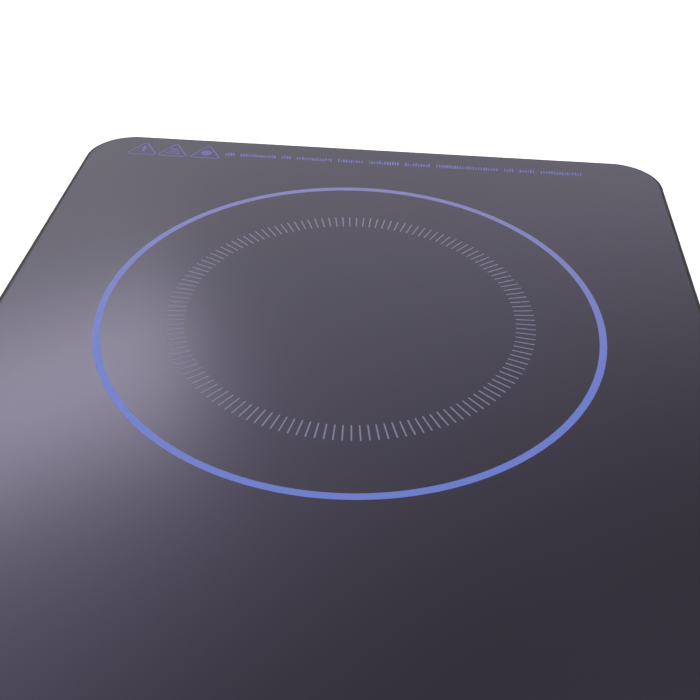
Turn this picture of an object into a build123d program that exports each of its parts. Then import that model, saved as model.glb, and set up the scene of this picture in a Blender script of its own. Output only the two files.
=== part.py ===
from build123d import *
import os
from math import atan2, cos, degrees, hypot, pi, radians, sin

# A portable single-zone induction hob. A glass plate covers the whole top. It is glued to a plastic
# top frame, which is screwed to a plastic bottom tray from below. The tray holds the fan, the power
# board and the posts that carry the flat coil; the frame holds the touch board under the front edge.
# Millimetres, +Z up, front towards -Y. The origin is the middle of the footprint, on the worktop.

# Glass plate
GLASS_WIDTH = 280.0
GLASS_DEPTH = 350.0
GLASS_THICK = 4.0
GLASS_CORNER = 22.0
GLASS_BEVEL = 0.6
TOTAL_HEIGHT = 62.0
GLASS_TOP = TOTAL_HEIGHT
GLASS_UNDER = GLASS_TOP - GLASS_THICK

# Cooking zone: its centre is set from the rear edge of the glass
ZONE_FROM_REAR = 139.0
ZONE_Y = GLASS_DEPTH / 2 - ZONE_FROM_REAR

# Levels of the housing
FOOT_HEIGHT = 7.0
FLOOR_THICK = 2.4
FLOOR_TOP = FOOT_HEIGHT + FLOOR_THICK
PARTING = 38.0
SEAL_THICK = 0.6
FRAME_TOP = GLASS_UNDER - SEAL_THICK
FLANGE_THICK = 2.0
FLANGE_UNDER = FRAME_TOP - FLANGE_THICK

# Top frame: set in from the glass edge all round
FRAME_INSET = 1.5
FRAME_WALL = 2.5
FRAME_WIDTH = GLASS_WIDTH - 2 * FRAME_INSET
FRAME_DEPTH = GLASS_DEPTH - 2 * FRAME_INSET
FRAME_CORNER = GLASS_CORNER - FRAME_INSET
FLANGE_SIDE = 17.0
BAY_HALF_WIDTH = FRAME_WIDTH / 2 - FRAME_WALL - FLANGE_SIDE
BAY_REAR = FRAME_DEPTH / 2 - FRAME_WALL - FLANGE_SIDE
BAY_FRONT = -126.0
CONTROL_REAR = -138.0
CONTROL_FRONT = -160.0
CONTROL_HALF_WIDTH = 105.0

# Bottom tray: walls lean out from the floor to the parting line
TRAY_WALL = 2.6
TRAY_STEP = 0.5
TRAY_LEAN = 3.0
TRAY_TOP_WIDTH = FRAME_WIDTH - 2 * TRAY_STEP
TRAY_TOP_DEPTH = FRAME_DEPTH - 2 * TRAY_STEP
TRAY_TOP_CORNER = FRAME_CORNER - TRAY_STEP
TRAY_FILLET = 4.0
TONGUE_HEIGHT = 2.5
TONGUE_THICK = 1.6
TONGUE_GAP = 0.2

# Housing screws, from below
HOUSING_SCREWS = [(x, y) for x in (-124.0, 124.0) for y in (-70.0, 70.0)]
HOUSING_SCREWS += [(x, y) for x in (-122.0, 122.0) for y in (-156.0, 156.0)]
BOSS_MEET = 30.0
HEAD_SEAT = 11.4

# Feet
FOOT_X = 108.0
FOOT_Y = 128.0
FOOT_RADIUS = 10.0
FOOT_STEM = 4.0

# Slots
SLOT_WIDTH = 3.0
SIDE_SLOT_PITCH = 7.0
SIDE_SLOT_COUNT = 13
REAR_SLOT_COUNT = 17
SLOT_LOW = 15.0
SLOT_HIGH = 31.0

# Fan
FAN_Y = 112.0
FAN_SIZE = 80.0
FAN_LOW = 12.4
FAN_HIGH = 32.4
FAN_BORE = 37.5
FAN_TIP = 36.6
FAN_HUB = 16.0
FAN_BLADES = 7
FAN_HOLE = 35.75
SHAFT_RADIUS = 1.5
SHAFT_CLEARANCE = 0.03
FAN_LEAD_RADIUS = 0.7

# Power board and what stands on it
CHOKE_AT = (-36.0, -66.0)
CHOKE_TURNS = 20
TRANSFORMER_AT = (48.0, -62.0)
FUSE_AT = (38.0, 50.0)
VARISTOR_AT = (46.0, 32.0)
BUZZER_AT = (48.0, -84.0)
STUDS = ((-52.0, -20.0), (-30.0, -20.0))
FAN_SOCKET_AT = (0.0, 58.0)
SENSOR_SOCKET_AT = (42.0, -9.0)
RIBBON_SOCKET_AT = (31.0, -89.75)
BOARD_WIDTH = 124.0
BOARD_REAR = 62.0
BOARD_FRONT = -95.0
BOARD_LOW = 15.0
BOARD_THICK = 1.6
BOARD_TOP = BOARD_LOW + BOARD_THICK
CHOKE_MIDDLE = BOARD_TOP + 8.0
LUG_LOW = BOARD_TOP + 6.0
LUG_THICK = 1.5
COIL_LEAD_RADIUS = 2.0
LEAD_START = 9.0
LEAD_DROP = 16.4
BOARD_SCREWS = [(x, y) for x in (-56.0, 56.0) for y in (-89.0, 56.0)]
SINK_X = (-52.0, 22.0)
SINK_Y = (6.0, 54.0)
SINK_LOW = 22.2
SINK_BASE = 4.0
SINK_HIGH = 36.0
SINK_FINS = 13

# Coil
COIL_INNER = 22.0
COIL_TURNS = 22
COIL_PITCH = 3.0
COIL_OUTER = COIL_INNER + COIL_TURNS * COIL_PITCH
CARRIER_LOW = 48.0
CARRIER_THICK = 2.0
CARRIER_TOP = CARRIER_LOW + CARRIER_THICK
CARRIER_RADIUS = COIL_OUTER + 4.0
COIL_THICK = 5.0
COIL_TOP = CARRIER_TOP + COIL_THICK
COIL_POST_RADIUS = 98.0
COIL_POSTS = [
    (COIL_POST_RADIUS * cos(radians(a)), ZONE_Y + COIL_POST_RADIUS * sin(radians(a)))
    for a in (45, 135, 225, 315)
]
FERRITE_COUNT = 8
FERRITE_SIZE = (50.0, 10.0, 5.0)
SPOKE_WIDTH = 14.0

# Heat sensor in the middle of the coil
CUP_RADIUS = 13.9
SENSOR_RADIUS = 8.0
SENSOR_GUIDE_LOW = 42.0
CAP_LOW = 48.5
SLEEVE_LOW = 45.0
SPRING_WIRE = 0.45
SPRING_RADIUS = 5.0
SPRING_TURNS = 6

# Touch board
TOUCH_WIDTH = 200.0
TOUCH_REAR = -130.0
TOUCH_FRONT = -167.0
TOUCH_TOP = 49.5
TOUCH_LOW = TOUCH_TOP - BOARD_THICK
TOUCH_SCREWS = [(x, y) for x in (-92.0, 92.0) for y in (-134.5, -163.5)]
KEY_Y = -150.0
KEY_X = (-86.0, -63.0, -40.0, 40.0, 63.0, 86.0)
KEY_SPRING_RADIUS = 5.0
DISPLAY_SIZE = (50.0, 18.0)

# Cord gland in the rear wall
GLAND_X = 100.0
GLAND_Z = 22.5
GLAND_PAD = (167.4, 172.4)
GLAND_HOLE = 6.5
GLAND_BORE = 3.8


# Small tools

def block(x0, x1, y0, y1, z0, z1):
    """A box between two corners."""
    middle = ((x0 + x1) / 2, (y0 + y1) / 2, (z0 + z1) / 2)
    return Pos(*middle) * Box(x1 - x0, y1 - y0, z1 - z0)


def plate(width, depth, corner, z0, z1, y=0.0):
    """A slab with rounded upright corners, centred on x = 0."""
    return Pos(0, y, z0) * extrude(RectangleRounded(width, depth, corner), z1 - z0)


def rod(radius, z0, z1, x=0.0, y=0.0):
    """An upright round bar."""
    return Pos(x, y, z0) * extrude(Circle(radius), z1 - z0)


def tube(outer, inner, z0, z1, x=0.0, y=0.0):
    """An upright round tube."""
    return Pos(x, y, z0) * extrude(Circle(outer) - Circle(inner), z1 - z0)


def rod_along(axis_turn, radius, length, at):
    """A round bar lying along a turned axis, starting at a point."""
    return Pos(*at) * Rot(*axis_turn) * extrude(Circle(radius), length)


def screw(x, y, seat, length, head_radius, head_height, shank_radius, upwards=False):
    """A cross-recessed pan-head screw. The head bears on the level called seat."""
    head = rod(head_radius, 0, head_height)
    head = fillet(head.edges().sort_by(Axis.Z)[-1], head_height * 0.45)
    arm = head_radius * 0.62
    slot = head_radius * 0.14
    deep = head_height * 0.55
    for half_x, half_y in ((arm, slot), (slot, arm)):
        head -= block(-half_x, half_x, -half_y, half_y, head_height - deep, head_height + 1)
    shank = rod(shank_radius, -length, 0)
    tip = shank.edges().sort_by(Axis.Z)[0]
    body = head + chamfer(tip, shank_radius * 0.6)
    if upwards:
        body = Rot(180, 0, 0) * body
    return Pos(x, y, seat) * body


def group(shapes):
    """Several separate solids that share one node."""
    solids = []
    for shape in shapes:
        solids += list(shape.solids())
    return Compound(children=solids)


def lead(points, radius, bends):
    """An insulated lead along straight runs joined by tangent arcs."""
    path = FilletPolyline(*points, radius=bends)
    start = Plane(origin=path @ 0, z_dir=path % 0)
    return sweep(start * Circle(radius), path=path)


# Housing

def glass_plate():
    glass = plate(GLASS_WIDTH, GLASS_DEPTH, GLASS_CORNER, GLASS_UNDER, GLASS_TOP)
    rims = glass.faces().sort_by(Axis.Z)[-1].edges() + glass.faces().sort_by(Axis.Z)[0].edges()
    return chamfer(rims, GLASS_BEVEL)


def glass_seal():
    """The bead of silicone between the glass and the frame's flange."""
    inset = 2.5
    width = 8.0
    outer = RectangleRounded(FRAME_WIDTH - 2 * inset, FRAME_DEPTH - 2 * inset, FRAME_CORNER - inset)
    inner_inset = inset + width
    inner = RectangleRounded(
        FRAME_WIDTH - 2 * inner_inset, FRAME_DEPTH - 2 * inner_inset, FRAME_CORNER - inner_inset
    )
    return Pos(0, 0, FRAME_TOP) * extrude(outer - inner, SEAL_THICK)


def top_frame():
    corner = FRAME_CORNER
    frame = plate(FRAME_WIDTH, FRAME_DEPTH, corner, PARTING, FRAME_TOP)
    top_rim = frame.faces().sort_by(Axis.Z)[-1].edges()
    frame = fillet(top_rim, 1.2)
    low_rim = frame.faces().sort_by(Axis.Z)[0].edges()
    frame = chamfer(low_rim, 0.5)
    inner_width = FRAME_WIDTH - 2 * FRAME_WALL
    inner_depth = FRAME_DEPTH - 2 * FRAME_WALL
    frame -= plate(inner_width, inner_depth, corner - FRAME_WALL, PARTING - 1, FLANGE_UNDER)
    bay_depth = BAY_REAR - BAY_FRONT
    bay = plate(2 * BAY_HALF_WIDTH, bay_depth, 10, FLANGE_UNDER - 1, FRAME_TOP + 1,
                (BAY_REAR + BAY_FRONT) / 2)
    control_depth = CONTROL_REAR - CONTROL_FRONT
    control = plate(2 * CONTROL_HALF_WIDTH, control_depth, 4, FLANGE_UNDER - 1, FRAME_TOP + 1,
                    (CONTROL_REAR + CONTROL_FRONT) / 2)
    frame -= [bay, control]
    # A stiffening rib behind the touch board
    rib = block(-inner_width / 2, inner_width / 2, BAY_FRONT - 2, BAY_FRONT, FLANGE_UNDER - 8, FLANGE_UNDER)
    bosses = [rod(4.0, BOSS_MEET, FLANGE_UNDER, x, y) for x, y in HOUSING_SCREWS]
    posts = [rod(3.2, TOUCH_TOP, FLANGE_UNDER, x, y) for x, y in TOUCH_SCREWS]
    # Webs tie each boss to the side wall
    wall_x = inner_width / 2 + 0.2
    webs = []
    for x, y in HOUSING_SCREWS:
        near, far = sorted((x, wall_x if x > 0 else -wall_x))
        webs.append(block(near, far, y - 0.8, y + 0.8, PARTING + 4, FLANGE_UNDER))
    frame += [rib] + bosses + posts + webs
    pilots = [rod(1.8, BOSS_MEET - 1, BOSS_MEET + 12, x, y) for x, y in HOUSING_SCREWS]
    pilots += [rod(1.2, TOUCH_TOP - 1, TOUCH_TOP + 5, x, y) for x, y in TOUCH_SCREWS]
    return frame - pilots


def leaning_block(inset, low, high):
    """The tray's outer form between two levels, drawn in by a wall's thickness."""
    lean = degrees(atan2(TRAY_LEAN, PARTING - FOOT_HEIGHT))
    drawn_in = TRAY_LEAN * (PARTING - low) / (PARTING - FOOT_HEIGHT)
    width = TRAY_TOP_WIDTH - 2 * (inset + drawn_in)
    depth = TRAY_TOP_DEPTH - 2 * (inset + drawn_in)
    corner = TRAY_TOP_CORNER - inset - drawn_in
    return Pos(0, 0, low) * extrude(RectangleRounded(width, depth, corner), high - low, taper=-lean)


def intake_slots():
    """Rings of arc slots under the fan, cut into four by two ribs."""
    rings = [
        tube(r + SLOT_WIDTH / 2, r - SLOT_WIDTH / 2, FOOT_HEIGHT - 1, FLOOR_TOP + 1, 0, FAN_Y)
        for r in (9.0, 14.5, 20.0, 25.5, 31.0, 36.5)
    ]
    rib = 3.0
    cross = [
        Pos(0, FAN_Y, FOOT_HEIGHT) * Rot(0, 0, turn) * Box(100, rib, 20) for turn in (45, 135)
    ]
    return Compound(children=[s for ring in rings for s in (ring - cross).solids()])


def slot(x, y, along_x, along_y, z0, z1):
    """One slot with rounded ends, cut from z0 to z1."""
    long_way = max(along_x, along_y)
    short_way = min(along_x, along_y)
    turn = 0 if along_x > along_y else 90
    outline = SlotOverall(long_way, short_way)
    return Pos(x, y, z0) * Rot(0, 0, turn) * extrude(outline, z1 - z0)


def wall_slot(x, y, facing):
    """One upright slot through a wall that faces along X or Y."""
    outline = SlotOverall(SLOT_HIGH - SLOT_LOW, SLOT_WIDTH)
    upright = extrude(outline, 12, both=True)
    middle = (SLOT_LOW + SLOT_HIGH) / 2
    turn = Rot(0, 90, 0) if facing == "x" else Rot(0, 0, 90) * Rot(0, 90, 0)
    return Pos(x, y, middle) * turn * upright


def bottom_tray():
    tray = leaning_block(0, FOOT_HEIGHT, PARTING)
    tray = fillet(tray.faces().sort_by(Axis.Z)[0].edges(), TRAY_FILLET)
    tray -= leaning_block(TRAY_WALL, FLOOR_TOP, PARTING)
    # Tongue that the frame slips over
    tongue_outer = FRAME_WALL + TONGUE_GAP
    tongue_inner = tongue_outer + TONGUE_THICK
    outer = RectangleRounded(
        FRAME_WIDTH - 2 * tongue_outer, FRAME_DEPTH - 2 * tongue_outer, FRAME_CORNER - tongue_outer
    )
    inner = RectangleRounded(
        FRAME_WIDTH - 2 * tongue_inner, FRAME_DEPTH - 2 * tongue_inner, FRAME_CORNER - tongue_inner
    )
    tongue_low = PARTING - 4.0
    tongue = Pos(0, 0, tongue_low) * extrude(outer - inner, PARTING + TONGUE_HEIGHT - tongue_low)
    tongue &= leaning_block(0, tongue_low - 1, PARTING) + plate(
        FRAME_WIDTH - 2 * tongue_outer, FRAME_DEPTH - 2 * tongue_outer,
        FRAME_CORNER - tongue_outer, PARTING, PARTING + TONGUE_HEIGHT)
    # Flat pad that the gland's groove grips
    pad = block(GLAND_X - 13, GLAND_X + 13, GLAND_PAD[0], GLAND_PAD[1], GLAND_Z - 12, GLAND_Z + 12)
    posts = [rod(6.0, FLOOR_TOP, BOSS_MEET, x, y) for x, y in HOUSING_SCREWS]
    posts += [rod(3.5, FLOOR_TOP, BOARD_LOW, x, y) for x, y in BOARD_SCREWS]
    posts += [rod(4.5, FLOOR_TOP, CARRIER_LOW, x, y) for x, y in COIL_POSTS]
    posts += [rod(3.6, FLOOR_TOP, FAN_LOW, x, y) for x, y in fan_corners()]
    # Seats that stiffen the floor round each foot's stem
    posts += [rod(7.0, FLOOR_TOP, FLOOR_TOP + 1.6, x, y) for x, y in foot_places()]
    tray += [tongue, pad] + posts
    holes = [rod(4.0, FOOT_HEIGHT - 1, HEAD_SEAT, x, y) for x, y in HOUSING_SCREWS]
    holes += [rod(2.1, HEAD_SEAT - 1, BOSS_MEET + 1, x, y) for x, y in HOUSING_SCREWS]
    holes += [rod(1.3, FLOOR_TOP - 1, BOARD_LOW + 1, x, y) for x, y in BOARD_SCREWS]
    holes += [rod(1.5, CARRIER_LOW - 12, CARRIER_LOW + 1, x, y) for x, y in COIL_POSTS]
    holes += [rod(1.3, FLOOR_TOP - 1, FAN_LOW + 1, x, y) for x, y in fan_corners()]
    holes += [rod(FOOT_STEM, FOOT_HEIGHT - 1, FLOOR_TOP + 3, x, y) for x, y in foot_places()]
    holes += [rod_along((-90, 0, 0), GLAND_HOLE, 12, (GLAND_X, GLAND_PAD[0] - 4, GLAND_Z))]
    tray -= holes
    side = (SIDE_SLOT_COUNT - 1) / 2
    slots = [
        wall_slot(x, (i - side) * SIDE_SLOT_PITCH, "x")
        for i in range(SIDE_SLOT_COUNT) for x in (-136.0, 136.0)
    ]
    rear = (REAR_SLOT_COUNT - 1) / 2
    slots += [wall_slot((i - rear) * SIDE_SLOT_PITCH, 171.0, "y") for i in range(REAR_SLOT_COUNT)]
    slots += [
        slot(x, -34.0 + i * SIDE_SLOT_PITCH, 26.0, SLOT_WIDTH, FOOT_HEIGHT - 1, FLOOR_TOP + 1)
        for i in range(12) for x in (-92.0, 92.0)
    ]
    tray -= slots
    return tray - intake_slots()


def fan_corners():
    return [(x, FAN_Y + y) for x in (-FAN_HOLE, FAN_HOLE) for y in (-FAN_HOLE, FAN_HOLE)]


def foot_places():
    return [(x, y) for x in (-FOOT_X, FOOT_X) for y in (-FOOT_Y, FOOT_Y)]


def foot(x, y):
    """A rubber foot with a hollow sole and a stem pushed through the floor."""
    sole = rod(FOOT_RADIUS, 0, FOOT_HEIGHT)
    sole = chamfer(sole.edges().sort_by(Axis.Z)[0], 1.0)
    sole -= rod(4.5, -1, 1.5)
    sole -= [tube(8.0, 7.2, -1, 0.6)]
    stem = rod(FOOT_STEM - 0.05, FOOT_HEIGHT, FLOOR_TOP + 1.6)
    bulb_low = FLOOR_TOP + 1.6
    bulb = Pos(0, 0, bulb_low) * Cone(FOOT_STEM + 1.0, FOOT_STEM - 1.0, 2.6,
                                      align=(Align.CENTER, Align.CENTER, Align.MIN))
    return Pos(x, y, 0) * (sole + stem + bulb)


def housing_screws():
    return group([
        screw(x, y, HEAD_SEAT, 28.0, 3.6, 2.6, 1.7, upwards=True) for x, y in HOUSING_SCREWS
    ])


def rating_plate():
    """A thin blank foil on the underside."""
    return plate(64, 34, 3, FOOT_HEIGHT - 0.3, FOOT_HEIGHT, -75.0)


# Cord gland

def cord_gland():
    """A grooved rubber bush that grips the rear wall."""
    inner_end = GLAND_PAD[0] - 3.0
    outer_end = GLAND_PAD[1] + 2.2
    at = (GLAND_X, inner_end, GLAND_Z)
    bush = rod_along((-90, 0, 0), GLAND_HOLE - 0.05, outer_end - inner_end, at)
    bush += rod_along((-90, 0, 0), 8.0, 3.0, at)
    lip = rod_along((-90, 0, 0), 9.5, 2.2, (GLAND_X, GLAND_PAD[1], GLAND_Z))
    lip = fillet(lip.edges().sort_by(Axis.Y)[-1], 1.0)
    bush += lip
    return bush - rod_along((-90, 0, 0), GLAND_BORE, 20, (GLAND_X, inner_end - 4, GLAND_Z))


# Fan

def fan_frame():
    half = FAN_SIZE / 2
    frame = plate(FAN_SIZE, FAN_SIZE, 5, FAN_LOW, FAN_HIGH, FAN_Y)
    frame -= rod(FAN_BORE, FAN_LOW - 1, FAN_HIGH + 1, 0, FAN_Y)
    # The corners are open between two ears, as on a moulded fan
    flange = 3.5
    waist = plate(FAN_SIZE + 2, FAN_SIZE + 2, 5, FAN_LOW + flange, FAN_HIGH - flange, FAN_Y)
    waist -= rod(half - 0.4, FAN_LOW, FAN_HIGH, 0, FAN_Y)
    frame -= waist
    motor_seat = rod(17.0, FAN_LOW, FAN_LOW + 2.0, 0, FAN_Y)
    struts = [
        Pos(0, FAN_Y, FAN_LOW + 1.2) * Rot(0, 0, turn) * Pos(27, 0, 0) * Box(24, 3, 2.4)
        for turn in range(0, 360, 90)
    ]
    post = rod(5.0, FAN_LOW, FAN_LOW + 13.0, 0, FAN_Y)
    frame += [motor_seat, post] + struts
    frame -= rod(3.5, FAN_LOW + 1.0, FAN_LOW + 14, 0, FAN_Y)
    # The lead lies in a groove in the front strut and leaves through a notch
    groove_half = FAN_LEAD_RADIUS + 0.1
    frame -= block(-groove_half, groove_half, FAN_Y - half - 1, FAN_Y - 12.9, FAN_LOW + 0.9, FAN_LOW + 3.6)
    return frame - [rod(2.0, FAN_LOW - 1, FAN_HIGH + 1, x, y) for x, y in fan_corners()]


def fan_bearing():
    return tube(3.5, SHAFT_RADIUS + SHAFT_CLEARANCE, FAN_LOW + 1.0, FAN_LOW + 13.0, 0, FAN_Y)


def fan_stator():
    """Four poles of stacked iron on the bearing post."""
    low = FAN_LOW + 4.5
    high = low + 6.0
    core = tube(7.0, 5.0, low, high, 0, FAN_Y)
    poles = [
        Pos(0, FAN_Y, (low + high) / 2) * Rot(0, 0, turn) * Pos(8.5, 0, 0) * Box(7, 3, high - low)
        for turn in range(0, 360, 90)
    ]
    shoes = tube(12.6, 11.2, low, high, 0, FAN_Y)
    gaps = [
        Pos(0, FAN_Y, (low + high) / 2) * Rot(0, 0, turn) * Box(30, 4, high - low + 2)
        for turn in (45, 135)
    ]
    return core + poles + [shoes - gaps]


def fan_windings():
    low = FAN_LOW + 3.6
    high = FAN_LOW + 11.4
    coils = []
    for turn in range(0, 360, 90):
        coil = Box(2.9, 6.0, high - low) - Box(5, 3.1, high - low - 1.7)
        coils.append(Pos(0, FAN_Y, (low + high) / 2) * Rot(0, 0, turn) * Pos(9.0, 0, 0) * coil)
    return group(coils)


def fan_blade():
    """One curved blade, cut off at the hub and at the tip."""
    span_low = FAN_LOW + 4.0
    span_high = FAN_HIGH - 1.6
    rise = (span_high - span_low) / 2 - 1.0
    chord = 10.5
    face = ThreePointArc((-chord, -rise), (-1.5, 1.4), (chord, rise))
    section = make_face([
        face,
        Line((chord, rise), (chord - 0.3, rise + 1.1)),
        ThreePointArc((chord - 0.3, rise + 1.1), (-2.0, 2.6), (-chord - 0.3, -rise + 1.1)),
        Line((-chord - 0.3, -rise + 1.1), (-chord, -rise)),
    ])
    # The section stands across the radius, then runs outwards along it
    across = Plane(origin=(FAN_HUB - 3.0, 0, 0), x_dir=(0, 1, 0), z_dir=(1, 0, 0))
    blade = extrude(across * section, FAN_TIP - FAN_HUB + 6.0)
    middle = (span_low + span_high) / 2
    blade = Pos(0, 0, middle) * blade
    ring = tube(FAN_TIP, FAN_HUB - 0.6, span_low, span_high)
    return blade & ring


def fan_rotor():
    low = FAN_LOW + 3.0
    high = FAN_HIGH - 1.0
    hub = rod(FAN_HUB, low, high)
    hub = fillet(hub.edges().sort_by(Axis.Z)[-1], 1.5)
    hub -= rod(FAN_HUB - 1.2, low - 1, high - 1.6)
    hub += rod(3.4, high - 4.6, high - 1.4)
    hub -= rod(SHAFT_RADIUS, high - 5, high - 2.2)
    blade = fan_blade()
    rotor = hub + [Rot(0, 0, i * 360 / FAN_BLADES) * blade for i in range(FAN_BLADES)]
    return Pos(0, FAN_Y, 0) * rotor


def rotor_magnet():
    outer = FAN_HUB - 1.2
    return tube(outer, 13.2, FAN_LOW + 3.4, FAN_LOW + 13.0, 0, FAN_Y)


def fan_shaft():
    """Pressed into the hub; it turns in the bearing."""
    shaft = rod(SHAFT_RADIUS, FAN_LOW + 1.4, FAN_HIGH - 3.2, 0, FAN_Y)
    return chamfer(shaft.edges().sort_by(Axis.Z)[0], 0.4)


def fan_screws():
    return group([screw(x, y, FAN_HIGH, 23.0, 2.9, 2.0, 1.25) for x, y in fan_corners()])


# Coil

def coil_carrier():
    """A moulded wheel: two rings of windows between eight spokes, a rim, and an eye in the middle."""
    carrier = tube(CARRIER_RADIUS, CUP_RADIUS + 0.1, CARRIER_LOW, CARRIER_TOP, 0, ZONE_Y)
    spokes = [
        Pos(0, ZONE_Y, CARRIER_LOW) * Rot(0, 0, turn) * Box(2 * CARRIER_RADIUS, SPOKE_WIDTH, 10)
        for turn in range(0, 180, 360 // FERRITE_COUNT)
    ]
    for outer, inner in ((52.0, 27.0), (84.0, 59.0)):
        ring = tube(outer, inner, CARRIER_LOW - 1, CARRIER_TOP + 1, 0, ZONE_Y)
        carrier -= ring - spokes
    rim = tube(CARRIER_RADIUS, CARRIER_RADIUS - 3.0, CARRIER_LOW, COIL_TOP, 0, ZONE_Y)
    eye = tube(COIL_INNER - 1.0, COIL_INNER - 3.5, CARRIER_LOW, COIL_TOP, 0, ZONE_Y)
    ears = [
        rod(7.5, CARRIER_LOW, CARRIER_TOP + 1.0, x, y)
        - rod(CARRIER_RADIUS - 1.5, CARRIER_TOP, CARRIER_TOP + 2, 0, ZONE_Y)
        for x, y in COIL_POSTS
    ]
    carrier += [rim, eye] + ears
    return carrier - [rod(1.9, CARRIER_LOW - 1, CARRIER_TOP + 3, x, y) for x, y in COIL_POSTS]


def litz_coil():
    """A flat winding. Its turns lie side by side, so both faces are scalloped."""
    outline = [Line((COIL_INNER, 0.7), (COIL_INNER, COIL_THICK - 0.7))]
    top = COIL_THICK - 0.7
    for i in range(COIL_TURNS):
        x0 = COIL_INNER + i * COIL_PITCH
        x1 = x0 + COIL_PITCH
        outline.append(ThreePointArc((x0, top), ((x0 + x1) / 2, COIL_THICK), (x1, top)))
    outline.append(Line((COIL_OUTER, top), (COIL_OUTER, 0.7)))
    for i in reversed(range(COIL_TURNS)):
        x0 = COIL_INNER + i * COIL_PITCH
        x1 = x0 + COIL_PITCH
        outline.append(ThreePointArc((x1, 0.7), ((x0 + x1) / 2, 0), (x0, 0.7)))
    section = Plane.XZ * make_face(outline)
    return Pos(0, ZONE_Y, CARRIER_TOP) * revolve(section, Axis.Z)


def ferrite_bars():
    length, width, height = FERRITE_SIZE
    bars = []
    for i in range(FERRITE_COUNT):
        bar = Pos(54, 0, CARRIER_LOW - height / 2) * Box(length, width, height)
        bars.append(Pos(0, ZONE_Y, 0) * Rot(0, 0, i * 360 / FERRITE_COUNT) * bar)
    return group(bars)


def mica_disc():
    return tube(CARRIER_RADIUS - 1.0, COIL_INNER - 3.0, COIL_TOP, COIL_TOP + 0.5, 0, ZONE_Y)


def coil_screws():
    return group([
        screw(x, y, CARRIER_TOP + 1.0, 13.0, 3.4, 2.2, 1.45) for x, y in COIL_POSTS
    ])


def sensor_holder():
    """A plastic cup set in the middle of the carrier. It guides the sprung cap."""
    holder = rod(CUP_RADIUS, SENSOR_GUIDE_LOW, CARRIER_TOP, 0, ZONE_Y)
    holder += rod(17.5, CARRIER_TOP, CARRIER_TOP + 1.5, 0, ZONE_Y)
    holder += rod(10.5, CARRIER_TOP, CARRIER_TOP + 4.0, 0, ZONE_Y)
    holder -= rod(SENSOR_RADIUS + 0.25, SENSOR_GUIDE_LOW + 1.5, CARRIER_TOP + 5, 0, ZONE_Y)
    return holder - rod(2.0, SENSOR_GUIDE_LOW - 1, SENSOR_GUIDE_LOW + 3, 0, ZONE_Y)


def sensor_cap():
    """A ceramic cap that the spring holds up against the glass."""
    cap = rod(SENSOR_RADIUS, CAP_LOW, GLASS_UNDER, 0, ZONE_Y)
    cap = fillet(cap.edges().sort_by(Axis.Z)[-1], 0.8)
    return cap - rod(SENSOR_RADIUS - 1.6, CAP_LOW - 1, GLASS_UNDER - 1.6, 0, ZONE_Y)


def thermistor():
    """A glass bead bonded under the cap."""
    bead = Pos(0, ZONE_Y, GLASS_UNDER - 3.2) * Sphere(1.6)
    legs = [rod(0.3, SLEEVE_LOW + 3.5, GLASS_UNDER - 4.0, x, ZONE_Y) for x in (-0.6, 0.6)]
    return bead + legs


def sensor_spring():
    low = SENSOR_GUIDE_LOW + 1.5 + SPRING_WIRE
    high = GLASS_UNDER - 1.6 - SPRING_WIRE
    pitch = (high - low) / SPRING_TURNS
    path = Helix(pitch, high - low, SPRING_RADIUS)
    start = Plane(origin=path @ 0, z_dir=path % 0)
    return Pos(0, ZONE_Y, low) * sweep(start * Circle(SPRING_WIRE), path=path, is_frenet=True)


# Power board

def power_board():
    board = block(-BOARD_WIDTH / 2, BOARD_WIDTH / 2, BOARD_FRONT, BOARD_REAR, BOARD_LOW, BOARD_TOP)
    board = fillet(board.edges().filter_by(Axis.Z), 2.0)
    return board - [rod(1.8, BOARD_LOW - 1, BOARD_TOP + 1, x, y) for x, y in BOARD_SCREWS]


def board_screws():
    return group([screw(x, y, BOARD_TOP, 7.5, 2.8, 2.0, 1.25) for x, y in BOARD_SCREWS])


def heat_sink():
    x0, x1 = SINK_X
    y0, y1 = SINK_Y
    sink = block(x0, x1, y0, y1, SINK_LOW, SINK_LOW + SINK_BASE)
    fin = 1.6
    step = (x1 - x0 - fin) / (SINK_FINS - 1)
    sink += [
        block(x0 + i * step, x0 + i * step + fin, y0, y1, SINK_LOW, SINK_HIGH)
        for i in range(SINK_FINS)
    ]
    feet = [
        block(x, x + 3, y0 + 4, y0 + 12, BOARD_TOP, SINK_LOW) for x in (x0, x1 - 3)
    ]
    feet += [
        block(x, x + 3, y1 - 12, y1 - 4, BOARD_TOP, SINK_LOW) for x in (x0, x1 - 3)
    ]
    return sink + feet


def power_transistor():
    """The switching transistor, clamped flat under the heat sink."""
    body = block(-40, -24, 20, 41, SINK_LOW - 5.0, SINK_LOW)
    legs = [block(x - 0.6, x + 0.6, 12, 20, SINK_LOW - 3.2, SINK_LOW - 2.6) for x in (-37.4, -32, -26.6)]
    feet = [block(x - 0.6, x + 0.6, 11.4, 12, BOARD_TOP, SINK_LOW - 2.6) for x in (-37.4, -32, -26.6)]
    return body + legs + feet


def bridge_rectifier():
    body = block(-10, 15, 22, 40, SINK_LOW - 4.6, SINK_LOW)
    legs = []
    for x in (-7, -0.5, 5.5, 12):
        legs.append(block(x - 0.6, x + 0.6, 14, 22, SINK_LOW - 3.0, SINK_LOW - 2.4))
        legs.append(block(x - 0.6, x + 0.6, 13.4, 14, BOARD_TOP, SINK_LOW - 2.4))
    return body + legs


def film_capacitor(x0, x1, y0, y1, height):
    body = block(x0, x1, y0, y1, BOARD_TOP, BOARD_TOP + height)
    return fillet(body.edges().filter_by(Axis.Z) + body.faces().sort_by(Axis.Z)[-1].edges(), 0.8)


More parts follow.
